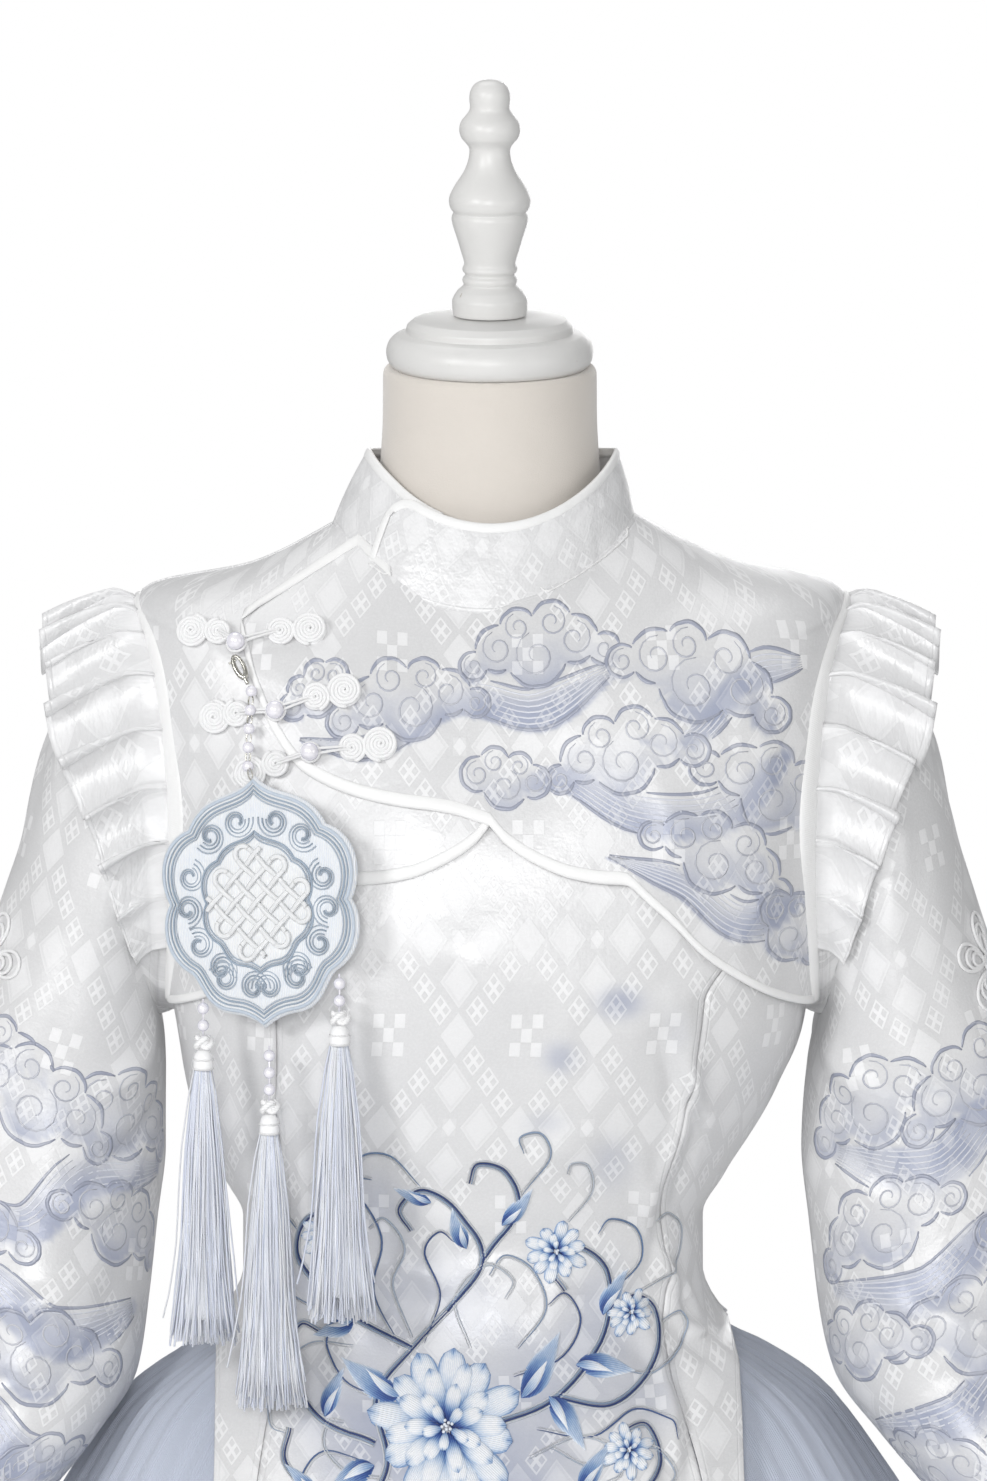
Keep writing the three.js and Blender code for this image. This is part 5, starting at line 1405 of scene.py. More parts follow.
def sleeve_clouds(sign):
    shift = 12 * sign
    return [
        Stream(17, 10, (-150, 1112), (-96, 1092), (-50, 1112), (10, 1086), (60, 1096)),
        Stream(16, 9, (170, 1104), (120, 1096), (90, 1060), (40, 1062), (-10, 1040)),
        Stream(17, 10, (-160, 1040), (-110, 1030), (-60, 1052), (-20, 1010), (40, 1016)),
        Stream(17, 10, (160, 1030), (112, 1010), (70, 1026), (24, 986), (-30, 984)),
        Stream(17, 10, (-160, 964), (-104, 962), (-60, 984), (-10, 946), (50, 950)),
        Stream(17, 10, (160, 950), (110, 944), (64, 966), (16, 916), (-40, 914)),
        Stream(16, 9, (-150, 890), (-90, 896), (-40, 912), (10, 876), (70, 880)),
        Cloud(-20 + shift, 1140, 16, -0.1), Cloud(62 + shift, 1136, 15, 0.15, -1),
        Cloud(-122, 1128, 17, 0.2, 1), Cloud(138, 1124, 17, -0.2, -1),
        Cloud(-74 + shift, 1124, 18, 0.2), Cloud(20, 1112, 15, -0.15, -1), Cloud(96 + shift, 1120, 18, -0.2, -1),
        Cloud(-126, 1066, 17, 0.3, -1), Cloud(-30, 1056, 19, 0.05, 1), Cloud(64 + shift, 1044, 18, 0.2, -1),
        Cloud(142, 1068, 16, -0.3, 1), Cloud(-84, 1002, 19, -0.2, 1), Cloud(8, 986, 18, 0.1, -1),
        Cloud(104, 990, 18, 0.2, 1), Cloud(-150, 1008, 15, 0.0, 1), Cloud(-54, 932, 18, 0.2, -1),
        Cloud(48, 924, 19, -0.1, 1), Cloud(136, 934, 16, 0.1, -1), Cloud(-134, 936, 17, -0.1, 1),
        Cloud(0, 868, 17, 0.1, 1), Cloud(-92, 872, 16, -0.2, -1), Cloud(96, 868, 17, 0.2, -1),
    ]


def wash_of(clouds, places):
    return np.clip(np.maximum.reduce([cloud.wash(places) for cloud in clouds]) + 0.06, 0, 1)


def cloud_strokes(clouds):
    """Every cloud's lines, with those hidden behind a later cloud left out."""
    lines = []
    for k, cloud in enumerate(clouds):
        for path, width, strength in cloud.strokes():
            hidden = np.zeros(len(path), bool)
            for later in clouds[k + 1 :]:
                hidden |= later.wash(path) > 0.05
            lines += [(part, width, strength) for part in visible_runs(path, ~hidden)]
    return lines


def print_lines(name, lines, outline, out, finish, slot, place=None, margin=5.0):
    """Lines printed on the cloth, as thin strips that narrow towards their ends."""
    place = place or place_in_front(out)
    strips = []
    for path, width, strength in lines:
        centre = outline.mean(0)
        for part in visible_runs(path, inside(centre + (outline - centre) * (1 - margin / 130), path)):
            way = unit(np.gradient(part, axis=0))
            side = np.stack([-way[:, 1], way[:, 0]], -1)
            t = np.linspace(0, 1, len(part))
            half = width / 2 * (0.35 + 0.65 * np.sin(math.pi * t) ** 0.6)[:, None]
            strips.append((part + side * half, part - side * half, strength))
    both = np.concatenate([np.concatenate(strip[:2]) for strip in strips])
    points, flat, normal = place(both[:, 0], both[:, 1])
    piece, start = Piece(), 0
    for left, _, strength in strips:
        count = len(left)
        grids = [
            np.stack([values[start : start + count], values[start + count : start + 2 * count]], 1)
            for values in (points, flat, normal)
        ]
        piece.sheet(grids[0], grids[1], strength, 100.0, out=grids[2])
        start += 2 * count
    return piece.done(name, finish, slot, wall=0.1)


# ---------------------------------------------------------------- embroidered spray
def petal_patch(
    piece, place, root, lean, length, width, tones, bend=0.0, crown=1.3, point=0.0, rim=-0.3, rows=13, columns=9
):
    """A padded satin-stitch petal or leaf that grows from its root at that lean."""
    s, t = np.linspace(0, 1, rows)[:, None], np.linspace(-1, 1, columns)[None, :]
    round_end = np.sqrt(np.clip(1 - (2 * s - 1) ** 2, 0, 1)) * (0.55 + 0.45 * s)
    sharp_end = np.sin(math.pi * s**0.8) * (1 - 0.25 * s)
    half = width / 2 * ((1 - point) * round_end + point * sharp_end) + 0.12
    notch = (1 - point) * 0.07 * length * np.exp(-((t / 0.25) ** 2)) * s**4
    x = half * t + bend * length * s**2
    y = length * s + 0 * t - notch
    across = root[0] + x * math.cos(lean) + y * math.sin(lean)
    up = root[1] - x * math.sin(lean) + y * math.cos(lean)
    points, _, normal = place(across, up)
    height = 0.35 + crown * np.sqrt(np.clip(1 - t**2, 0, 1)) * (0.45 + 0.55 * np.sin(math.pi * np.clip(s, 0.04, 0.96)))
    points = points + normal * (height * (np.abs(t) < 0.999) + 0.05)[..., None]
    flat = stacked(half * t, length * s)
    near_rim = np.maximum(np.abs(t) ** 5, ease(s, 0.86, 1.0) + 0 * t)
    tone = tones[0] + (tones[1] - tones[0]) * ease(s, 0.02, 0.72) - rim * near_rim
    piece.sheet(points, flat, np.broadcast_to(np.clip(tone, 0, 1), half.shape[:1] + t.shape[1:]), out=normal)


def smooth_path(knots, count=60):
    """A smooth path through a few places."""
    knots = np.array(knots, float)
    t = np.linspace(0, len(knots) - 1, count)
    before = np.concatenate([knots[:1] * 2 - knots[1:2], knots, knots[-1:] * 2 - knots[-2:-1]])
    k = np.minimum(t.astype(int), len(knots) - 2)
    f = (t - k)[:, None]
    p0, p1, p2, p3 = (before[k + i] for i in range(4))
    return 0.5 * (2 * p1 + (p2 - p0) * f + (2 * p0 - 5 * p1 + 4 * p2 - p3) * f**2 + (3 * p1 - p0 - 3 * p2 + p3) * f**3)


STEMS = (
    ((-70, 902), (-52, 930), (-58, 962), (-40, 985), (-22, 1004)),
    ((-22, 1004), (-4, 1030), (-16, 1056), (-34, 1068), (-46, 1058), (-40, 1046)),
    ((-4, 1030), (14, 1058), (8, 1078), (-6, 1082), (-10, 1072)),
    ((-40, 985), (-78, 1004), (-98, 1030), (-92, 1052), (-78, 1050), (-78, 1038)),
    ((0, 950), (34, 962), (58, 990), (60, 1022), (44, 1036), (32, 1026), (38, 1014)),
    ((34, 962), (62, 958), (84, 976), (86, 1000), (74, 1008), (66, 998)),
    ((10, 905), (40, 920), (70, 914), (86, 930), (80, 948), (66, 944)),
    ((-58, 940), (-88, 952), (-104, 976), (-98, 994), (-84, 990)),
    ((-60, 915), (-84, 914), (-104, 930), (-102, 946)),
)
# Wisps of two fine lines, each with the tone of its darker one.
WISPS = (
    ((-46, 985), (-60, 1012), (-56, 1040), (-66, 1062), (-78, 1066), 0.35),
    ((-40, 990), (-50, 1016), (-44, 1036), (-54, 1052), (-62, 1046), 0.75),
    ((-86, 1000), (-104, 1010), (-112, 1032), (-106, 1048), (-98, 1042), 0.55),
    ((-70, 985), (-92, 984), (-110, 966), (-112, 948), (-104, 944), 0.75),
    ((-60, 930), (-84, 936), (-96, 922), (-92, 906), (-84, 910), 0.35),
    ((14, 985), (28, 1004), (22, 1024), (8, 1032), (0, 1022), 0.6),
    ((24, 948), (52, 944), (74, 956), (92, 950), (96, 940), 0.3),
    ((30, 940), (54, 930), (82, 938), (94, 926), (90, 918), 0.75),
    ((60, 1010), (76, 1026), (74, 1044), (62, 1050), (56, 1042), 0.45),
    ((16, 1066), (30, 1086), (26, 1098), (16, 1096), (18, 1088), 0.6),
    ((-36, 1070), (-50, 1086), (-64, 1086), (-66, 1076), (-60, 1074), 0.5),
    ((0, 915), (-14, 896), (-8, 880), (4, 884), (2, 892), 0.4),
    ((60, 975), (84, 972), (100, 984), (98, 996), (90, 994), 0.7),
    ((-10, 985), (-18, 1010), (-2, 1028), (12, 1020), (8, 1010), 0.85),
    ((-34, 988), (-26, 1012), (-34, 1034), (-26, 1046), (-18, 1040), 0.25),
    ((12, 972), (36, 980), (46, 998), (38, 1012), (30, 1006), 0.25),
    ((20, 935), (44, 944), (62, 938), (66, 926), (58, 922), 0.85),
    ((12, 915), (30, 900), (52, 898), (62, 906), (56, 912), 0.3),
    ((-50, 925), (-70, 926), (-84, 938), (-82, 950), (-74, 950), 0.85),
    ((-52, 960), (-74, 968), (-84, 984), (-80, 994), (-72, 992), 0.3),
    ((-30, 905), (-44, 888), (-64, 884), (-72, 892), (-66, 898), 0.6),
    ((40, 1050), (52, 1066), (50, 1080), (42, 1082), (40, 1076), 0.85),
    ((78, 1010), (94, 1022), (98, 1040), (92, 1050), (86, 1046), 0.85),
)
LEAVES = (
    # root x z, lean, length, width, bend
    (-46, 962, -1.25, 34, 15, 0.2), (-58, 930, -1.9, 30, 14, -0.2), (16, 962, 0.75, 36, 15, -0.18),
    (44, 976, 1.5, 30, 13, 0.2), (58, 1000, 0.35, 26, 11, 0.15), (30, 962, 2.3, 30, 13, 0.2),
    (-12, 1036, -0.5, 24, 10, 0.2), (6, 1050, 0.9, 24, 10, -0.2), (-82, 1008, -0.2, 26, 11, 0.25),
    (-70, 998, -2.2, 22, 10, 0.2), (46, 918, 0.4, 26, 11, 0.2), (62, 914, 2.1, 26, 11, -0.2),
    (-84, 952, 0.2, 24, 10, 0.2), (-30, 1062, -1.4, 20, 8, 0.2), (-88, 914, -0.6, 22, 9, -0.2),
)
# Flower heads: x z, size and tilt.
SPRAY_HEADS = (
    (-22, 948, 0.8, 0.1), (34, 1034, 0.44, 0.6), (-84, 1040, 0.36, -0.5), (72, 1000, 0.34, 0.9), (70, 936, 0.36, 1.6),
)


def build_spray():
    """A blue and white flower spray in padded satin stitch, with double-stitched scrolling stems."""
    place = place_in_front(WALL)
    piece = Piece()
    for x, z, lean, length, width, bend in LEAVES:
        petal_patch(piece, place, (x, z), lean, length, width, (0.08, 0.62), bend, 1.2, 1.0)
        petal_patch(piece, place, (x, z), lean + 0.1, length * 0.62, width * 0.42, (0.45, 0.95), bend, 1.9, 1.0)
    for head_x, head_z, size, tilt in SPRAY_HEADS:
        rows = (
            (12, 44, 23, 0.0, 0.94, 0.0), (10, 33, 19, 0.0, 0.98, 0.3),
            (7, 22, 14, 0.05, 1.0, 0.1), (5, 12, 9, 0.5, 0.98, 0.5),
        )
        for k, (count, length, width, dark, light, phase) in enumerate(rows if size > 0.5 else rows[1:]):
            for i in range(count):
                lean = tilt + TURN * (i + phase) / count + 0.07 * math.sin(5.1 * i + k)
                grow = size * (1 + 0.1 * math.sin(3.7 * i + 1.3 * k))
                root = (head_x + 3 * size * math.sin(lean), head_z + 2.6 * size * math.cos(lean))
                patch = place_in_front(WALL + 0.9 * size * k)
                bend, crown = 0.05 * math.sin(7 * i), 1.0 + 0.5 * size
                petal_patch(
                    piece, patch, root, lean, length * grow, width * size, (dark, light), bend, crown, rim=0.52
                )
        centre = place_in_front(WALL + 4.2 * size)
        for i in range(9 if size > 0.5 else 4):
            angle, reach = 2.4 * i, 1.35 * size * math.sqrt(i)
            x, z = head_x + reach * math.cos(angle), head_z + reach * math.sin(angle)
            at, _, normal = centre(np.array([x]), np.array([z]))
            piece.ball(at[0] + normal[0], 1.1 * max(size, 0.55), 0.95, segments=10)
    piece.done("spray_flowers", "spray", "embroidery")

    piece = Piece()
    place = place_in_front(WALL + 0.35)
    for knots in STEMS:
        path = smooth_path(knots, 48)
        way = unit(np.gradient(path, axis=0))
        side = np.stack([-way[:, 1], way[:, 0]], -1)
        for apart, tone, thick in ((-1.75, 0.93, 0.5), (-0.62, 0.12, 0.62), (0.55, 0.6, 0.55), (1.6, 0.93, 0.5)):
            line = path + side * apart
            points, _, normal = place(line[:, 0], line[:, 1])
            taper = thick * (1 - 0.4 * np.linspace(0, 1, len(path)) ** 3)
            piece.cord(points, taper, normal, 5, tone)
    for *knots, tone in WISPS:
        path = smooth_path(knots, 32)
        way = unit(np.gradient(path, axis=0))
        side = np.stack([-way[:, 1], way[:, 0]], -1)
        for apart, shade in ((-0.6, tone), (0.6, 0.97)):
            line = path + side * apart
            points, _, normal = place(line[:, 0], line[:, 1])
            swell = 0.25 + 0.75 * np.sin(math.pi * np.linspace(0, 1, len(path))) ** 0.6
            piece.cord(points, 0.52 * swell, normal, 5, shade)
    piece.done("spray_stems", "spray", "embroidery")


# ---------------------------------------------------------------- frogs
FROGS = {
    "top": {
        "outer": (-151, 1350), "inner": (-138.5, 1349), "pearl": (-128, 1342),
        "near": (-107.5, 1347.5), "far": (-92.5, 1348),
    },
    "middle": {
        "outer": (-138.5, 1309), "inner": (-127.5, 1311), "pearl": (-107, 1311.5),
        "near": (-88.5, 1318), "far": (-74.5, 1320.5),
    },
    "bottom": {
        "outer": (-120, 1281), "inner": (-107.5, 1286), "pearl": (-90, 1291),
        "near": (-70, 1293.5), "far": (-56, 1295),
    },
}
COIL_RADIUS = {"far": 9.7, "near": 8.1, "outer": 9.6, "inner": 7.9}
ON_OVERLAP = LAYER["overlap"] + WALL + 1.2
ON_UNDERLAP = LAYER["underlap"] + WALL + 1.6


def spot(x, z, out):
    """A place on the front, with the directions across, up and out of the cloth there."""
    a, d = seen_from_front(np.array([float(x)]), np.array([float(z)]))
    point = FRONT.at(a, d, np.array([float(out)]))[0]
    normal = normal_of(tunic_point, a, d)[0]
    up = unit(np.array([0, 0, 1.0]) - normal * normal[2])
    return point, np.cross(up, normal), up, normal


def facing_front(at, share=0.8, rise=1.3):
    """The stiff discs bend the cloth under them, so that they face forwards more than it does."""
    point, _, _, normal = at
    turned = unit(normal + np.array([0, -share, 0]))
    up = unit(np.array([0, 0, 1.0]) - turned * turned[2])
    return point + turned * rise, np.cross(up, turned), up, turned


def coil(piece, at, radius, start, flip):
    """A flat coil of cord from its eye outwards."""
    point, across, up, normal = at
    cord = sizes().frog_cord / MM
    turns = (radius - cord) / (2 * cord * 0.88)
    t = np.linspace(0.02, 1, int(24 * turns))
    angle = start - flip * TURN * turns * (1 - t)
    reach = (radius - cord) * t
    path = point + across * (reach * np.cos(angle))[:, None] + up * (reach * np.sin(angle))[:, None]
    path = path + normal * (1.1 + 0.5 * (1 - t))[:, None]
    piece.cord(path, cord, normal, 8, height=0.85)
    rim = [(0, -0.7), (radius - 1.5, -0.7), (radius - 1.0, -0.2), (radius - 1.5, 0.5), (0, 0.7)]
    piece.turned(rim, point, normal, 28)
    return path[-1]


def build_frogs():
    for name, places in FROGS.items():
        halves = (("loops", ("far", "near"), ON_OVERLAP), ("knots", ("outer", "inner"), ON_UNDERLAP))
        for half, (big, small), lift in halves:
            piece = Piece()
            ends = {part: facing_front(spot(*places[part], lift)) for part in (big, small)}
            way = ends[small][0] - ends[big][0]
            for part, flip in ((big, 1), (small, -1)):
                _, across, up, _ = ends[part]
                toward = way if part == big else -way
                start = math.atan2(toward @ up, toward @ across)
                coil(piece, ends[part], COIL_RADIUS[part], start + 1.5 * flip, flip)
            pearl, _, up, normal = spot(*places["pearl"], ON_OVERLAP + 3.6)
            near = ends[small][0]
            for side in (-1, 1):
                t = np.linspace(0, 1, 18)[:, None]
                path = near + (pearl - near) * t + up * (side * (0.75 + 0.9 * t**2 * (half == "loops")))
                path = path + normal * (1.4 + 0.8 * np.sin(math.pi * t))
                piece.cord(path, 0.72, normal, 8)
            if half == "loops":
                t = np.linspace(0, TURN, 30, endpoint=False)[:, None]
                across = np.cross(up, normal)
                ring = pearl + (across * np.cos(t) + up * np.sin(t)) * 4.9
                piece.cord(ring, 0.72, normal, 8, loop=True)
            piece.done(f"frog_cords_{name}_{half}", "cord", "cord", (f"frog_{name}_{half}",))
        piece = Piece()
        pearl, _, _, normal = spot(*places["pearl"], ON_OVERLAP + 4.6)
        piece.ball(pearl + normal * 1.4, sizes().pearl / MM, segments=36)
        piece.done(f"pearl_button_{name}", "pearl", "pearl", (f"frog_{name}_pearl",))


# ---------------------------------------------------------------- charm
PLAQUE = {"x": -110, "z": 1217, "roll": math.radians(4), "width": 112, "height": 128, "wall": 6, "lift": 15}
# Half of the plaque's outline as curves with two handles each, from the bottom point up its right side.
PLAQUE_CURVES = (
    ((0, -1), (0.2, -0.86), (0.32, -0.9), (0.42, -0.86)),
    ((0.42, -0.86), (0.6, -0.8), (0.62, -0.62), (0.72, -0.56)),
    ((0.72, -0.56), (0.98, -0.44), (1.02, -0.16), (0.9, 0)),
    ((0.9, 0), (1.04, 0.24), (0.96, 0.52), (0.68, 0.6)),
    ((0.68, 0.6), (0.5, 0.92), (0.2, 0.8), (0, 1)),
)
CHAIN = {"x": -119, "from_z": 1333, "to_z": 1284, "pearls": 5, "radius": 2.9}
STRANDS = {"right": (-146, 1166, 2), "middle": (-112, 1143, 3), "left": (-76, 1181, 2)}
BEAD_RADIUS = 3.0
TASSEL = {"top": 4.2, "bottom": 19, "flat": 0.5}


def plaque_outline(each=18):
    """The plaque's outline in millimetres round its middle."""
    t = np.linspace(0, 1, each, endpoint=False)[:, None]
    half = []
    for a, b, c, d in PLAQUE_CURVES:
        a, b, c, d = (np.array(corner, float) for corner in (a, b, c, d))
        half.append(a * (1 - t) ** 3 + 3 * b * t * (1 - t) ** 2 + 3 * c * t**2 * (1 - t) + d * t**3)
    half = np.concatenate(half)
    other = half[1:][::-1] * [-1, 1]
    whole = np.concatenate([half, [[0, 1]], other])
    return whole * [PLAQUE["width"] / 2, PLAQUE["height"] / 2]


def plaque_frame():
    point, across, up, normal = spot(PLAQUE["x"], PLAQUE["z"], PLAQUE["lift"])
    c, s = math.cos(PLAQUE["roll"]), math.sin(PLAQUE["roll"])
    return point, across * c + up * s, up * c - across * s, normal


def build_plaque():
    point, across, up, normal = plaque_frame()
    outline = plaque_outline()
    around = np.concatenate([outline, outline[:1]])

    def placed(local, height):
        return point + across * local[..., :1] + up * local[..., 1:] + normal * np.asarray(height)[..., None]

    thick = PLAQUE["wall"]
    rows = [(0.004, 4.6)] + [(s, 4.6 - 2.0 * s**2.5) for s in np.linspace(0.05, 0.86, 26)]
    rows += [
        (0.9, 2.45), (0.94, 2.9), (0.965, 2.9), (0.985, 2.5), (1.0, 1.6), (1.004, 0.6), (1.0, -0.4),
        (0.985, -1.2), (0.95, -1.5), (0.6, -1.6), (0.004, -1.6),
    ]
    share, height = (np.array(column, float)[:, None] for column in zip(*rows))
    local = around[None] * share[..., None]
    base = thick / 2 - 1.6
    lobed = 0.35 * np.sin(8 * np.linspace(0, TURN, len(around)))[None, :] * np.exp(-(((share - 0.66) / 0.12) ** 2))
    points = placed(local, height + base + lobed)
    tone = np.interp(share, [0, 0.3, 0.5, 0.56, 0.72, 0.8, 0.93, 1.0], [0.97, 0.95, 0.94, 0.9, 0.86, 0.88, 0.95, 0.88])
    piece = Piece()
    piece.sheet(points, local, np.broadcast_to(tone, local.shape[:2]), wrap=True, caps=True)
    pad = piece.done("charm_plaque_pad", "plaque", "embroidery", ("charm_plaque",))

    piece = Piece()

    def top(share):
        return float(np.interp(share, [r[0] for r in rows[:-2]], [r[1] for r in rows[:-2]])) + base

    outlines = (
        (0.965, 0.9, 0.66), (0.925, 0.45, 0.45), (0.89, 0.55, 0.42), (0.862, 0.4, 0.66),
        (0.565, 0.55, 0.42), (0.545, 0.4, 0.66), (0.522, 0.4, 0.55),
    )
    for share, radius, tone in outlines:
        ring = outline * share
        piece.cord(placed(ring, np.full(len(ring), top(min(share, 0.94)) + 0.4)), radius, normal, 7, tone, loop=True)
    for k in range(8):
        middle = outline[int(len(outline) * (k + 0.5) / 8)] * 0.72
        inward = unit(-middle)
        for flip in (-1, 1):
            side = np.array([-inward[1], inward[0]]) * flip
            for nested, tone in ((1.15, 0.6), (0.86, 0.4), (0.6, 0.6)):
                t = np.linspace(0, 1, 24)
                turn = 0.2 + t * 7.4
                reach = 8.2 * nested * (1 - 0.72 * t)
                curled = np.stack([np.cos(turn), np.sin(turn)], -1) @ np.stack([side, inward]) * reach[:, None]
                line = middle + side * 8.4 + curled
                piece.cord(placed(line, np.full(len(line), top(0.7) + 0.3)), 0.42, normal, 5, tone)
    piece.done("charm_plaque_cords", "plaque", "embroidery")

    # An endless knot: two sets of slanted runs that pass over and under each other and join at the rim.
    piece = Piece()
    pitch, reach = 8.6, 2
    places = range(-reach, reach + 1)
    diagonal = math.sqrt(0.5)
    for first in (True, False):
        for k in places:
            low, high = -(reach + 0.55) * pitch, (reach + 0.55) * pitch
            t = np.linspace(low, high, 60)
            level = np.full_like(t, k * pitch)
            local = np.stack([t, level] if first else [level, t], -1)
            over = np.cos(math.pi * t / pitch) * (1 if (k % 2 == 0) == first else -1)
            turned = np.stack([local[:, 0] - local[:, 1], local[:, 0] + local[:, 1]], -1) * diagonal
            height = top(0.2) + 1.0 + 0.9 * over
            piece.cord(placed(turned, height), 1.35, normal, 8, 0.96)
        for k in places[:-1]:
            if k % 2 == (0 if first else 1):
                t = np.linspace(-math.pi / 2, math.pi / 2, 14)
                for end in (-1, 1):
                    outward = end * ((reach + 0.55) * pitch + pitch / 2 * np.cos(t))
                    ring = np.stack([outward, (k + 0.5) * pitch + pitch / 2 * np.sin(t)], -1)
                    ring = ring if first else ring[:, ::-1]
                    turned = np.stack([ring[:, 0] - ring[:, 1], ring[:, 0] + ring[:, 1]], -1) * diagonal
                    piece.cord(placed(turned, np.full(14, top(0.35) + 1.0)), 1.35, normal, 8, 0.96)
    piece.done("charm_knot", "plaque", "embroidery")


def build_chain():
    heights = np.linspace(CHAIN["from_z"] - 12, CHAIN["to_z"], CHAIN["pearls"])
    lift = ON_OVERLAP + CHAIN["radius"] + 1
    pearls = [spot(CHAIN["x"], z, lift)[0] for z in heights]
    piece = Piece()
    for pearl in pearls:
        piece.ball(pearl, CHAIN["radius"], segments=28)
    piece.done("charm_chain_pearls", "pearl", "pearl", ("charm_chain",))
    point, _, up, normal = plaque_frame()
    eye = point + up * (PLAQUE["height"] / 2 - 3) + normal * 5
    stops = [*pearls, eye]
    piece = Piece()
    for first, second in zip(stops, stops[1:]):
        middle = (first + second) / 2
        way = unit(second - first)
        gap = max(np.linalg.norm(second - first) / 2 - CHAIN["radius"] + 0.8, 1.6)
        side = unit(np.cross(way, normal))
        t = np.linspace(0, TURN, 18, endpoint=False)[:, None]
        piece.cord(middle + way * np.cos(t) * gap + side * np.sin(t) * 1.3, 0.42, normal, 6, loop=True)
    hook, _, _, out = spot(CHAIN["x"] - 9, CHAIN["from_z"] + 4, lift + 1)
    first = pearls[0]
    way, side = unit(first - hook), unit(np.cross(unit(first - hook), out))
    t = np.linspace(0, 1, 40)[:, None]
    body = hook + way * (np.linalg.norm(first - hook) - CHAIN["radius"] - 1.5) * t
    shape = hook + way * (0.4 + 12.5 * (0.5 - 0.5 * np.cos(TURN * t))) + side * (2.3 * np.sin(TURN * t))
    piece.cord(shape[:-1], np.interp(t[:-1, 0], [0, 0.25, 0.5, 0.8, 1], [1.0, 1.3, 1.5, 0.9, 0.8]), out, 8, loop=True)
    piece.cord(body[26:], 1.0, out, 8)
    lever = hook + way * 2.6 + side * np.linspace(0, 4.2, 8)[:, None]
    piece.cord(lever, 0.6, out, 8)
    piece.done("charm_clasp_parts", "silver", "silver", ("charm_clasp",))


def build_tassels():
    plaque = plaque_frame()[0]
    for index, (name, (x, z, beads)) in enumerate(STRANDS.items()):
        y = plaque[1] - 9 - (x - PLAQUE["x"]) * 0.28
        pitch = 2.9 * BEAD_RADIUS
        piece = Piece()
        for k in range(beads):
            piece.ball((x, y, z - BEAD_RADIUS - k * pitch), BEAD_RADIUS, segments=26)
        piece.cord([(x, y, z + 2), (x, y, z - beads * pitch)], 0.5, (0, -1, 0), 6)
        piece.done(f"charm_beads_on_{name}", "pearl", "pearl", (f"charm_beads_{name}",))
        knot = z - beads * pitch - 3
        piece = Piece()
        t = np.linspace(0, TURN, 90, endpoint=False)[:, None]
        round_it = 3.1 + 1.1 * np.cos(3 * t)
        winding = np.concatenate(
            [round_it * np.cos(2 * t), round_it * np.sin(2 * t) * 0.8, 2.3 * np.sin(3 * t)], 1
        )
        piece.cord(winding + (x, y, knot), 1.5, (0.3, -1, 0.2), 8, loop=True)
        piece.ball((x, y, knot), 3.2, segments=16)
        cap = [
            (0, 0), (2.2, 0), (3.3, 0.6), (4.4, 2.2), (4.9, 4), (4.7, 4.6), (4.9, 5.2), (5.1, 8), (5.0, 9.6),
            (4.6, 10.2), (0, 10.2),
        ]
        piece.turned(cap, (x, y, knot - 4), (0, 0, -1), 32)
        for height in (4.8, 9.4):
            ring = np.concatenate([5.0 * np.cos(t[::3]), 5.0 * np.sin(t[::3]), 0 * t[::3] - height], 1)
            piece.cord(ring + (x, y, knot - 4), 0.55, (0, 0, 1), 6, loop=True)
        piece.done(f"charm_cap_{name}", "cord", "cord")
        top = knot - 4 - 10
        random = np.random.default_rng(31 + index)
        piece = Piece()
        t = np.linspace(0, 1, 11)
        widths = ([0, 0.06, 0.3, 0.7, 0.9, 1], [TASSEL["top"], 6.0, 9.6, 13.6, 16.4, TASSEL["bottom"] * 0.97])
        turn, row = np.linspace(0, TURN, 25)[None, :], np.linspace(0, 0.9, 12)[:, None]
        # A pale solid core inside the threads: painted light that fills the shaded gaps deep in the tassel with pale
        # colour.
        core = np.interp(row, *widths) * 0.8
        level = top - sizes().tassel_length / MM * row
        pale_core_painted_light = stacked(x + core * np.cos(turn), y + TASSEL["flat"] * core * np.sin(turn), level)
        piece.sheet(pale_core_painted_light, stacked(turn * 20, row * 140), 0.8, wrap=True, caps=True)
        for k in range(sizes().tassel_threads):
            angle, share = k * 2.39996, math.sqrt((k + 0.5) / sizes().tassel_threads)
            stray = 1.0 + 0.16 * (k % 23 == 7)
            fall = sizes().tassel_length / MM * (0.93 + 0.07 * random.random()) * (0.9 if stray > 1 else 1)
            wide = np.interp(t, *widths) * stray
            sway = 1.3 * np.sin(t * (4 + 5 * random.random()) + TURN * random.random()) * t
            px = x + share * wide * math.cos(angle) + sway
            py = y + TASSEL["flat"] * share * wide * math.sin(angle) + 0.6 * np.sin(4 * t + k)
            path = np.stack([px, py, top - fall * t], 1)
            piece.cord(path, 0.4 + 0.12 * random.random(), (0, -1, 0), 4, tone=random.random())
        piece.done(f"charm_threads_{name}", "tassel", "lilac_thread", (f"charm_tassel_{name}",))


# ---------------------------------------------------------------- stage
AIM = Vector((0.0019, 0, 1.2915))
SENSOR_HEIGHT = 36.0


def build_camera():
    look_from = sizes()
    data = bpy.data.cameras.new("camera")
    data.sensor_fit = "VERTICAL"
    data.sensor_height = SENSOR_HEIGHT
    data.lens = look_from.camera_lens
    data.clip_start, data.clip_end = 0.05, 50
    camera = bpy.data.objects.new("camera", data)
    tilt = look_from.camera_elevation
    camera.location = AIM + look_from.camera_distance * Vector((0, -math.cos(tilt), math.sin(tilt)))
    camera.rotation_euler = (math.pi / 2 - tilt, 0, 0)
    bpy.context.scene.collection.objects.link(camera)
    bpy.context.scene.camera = camera


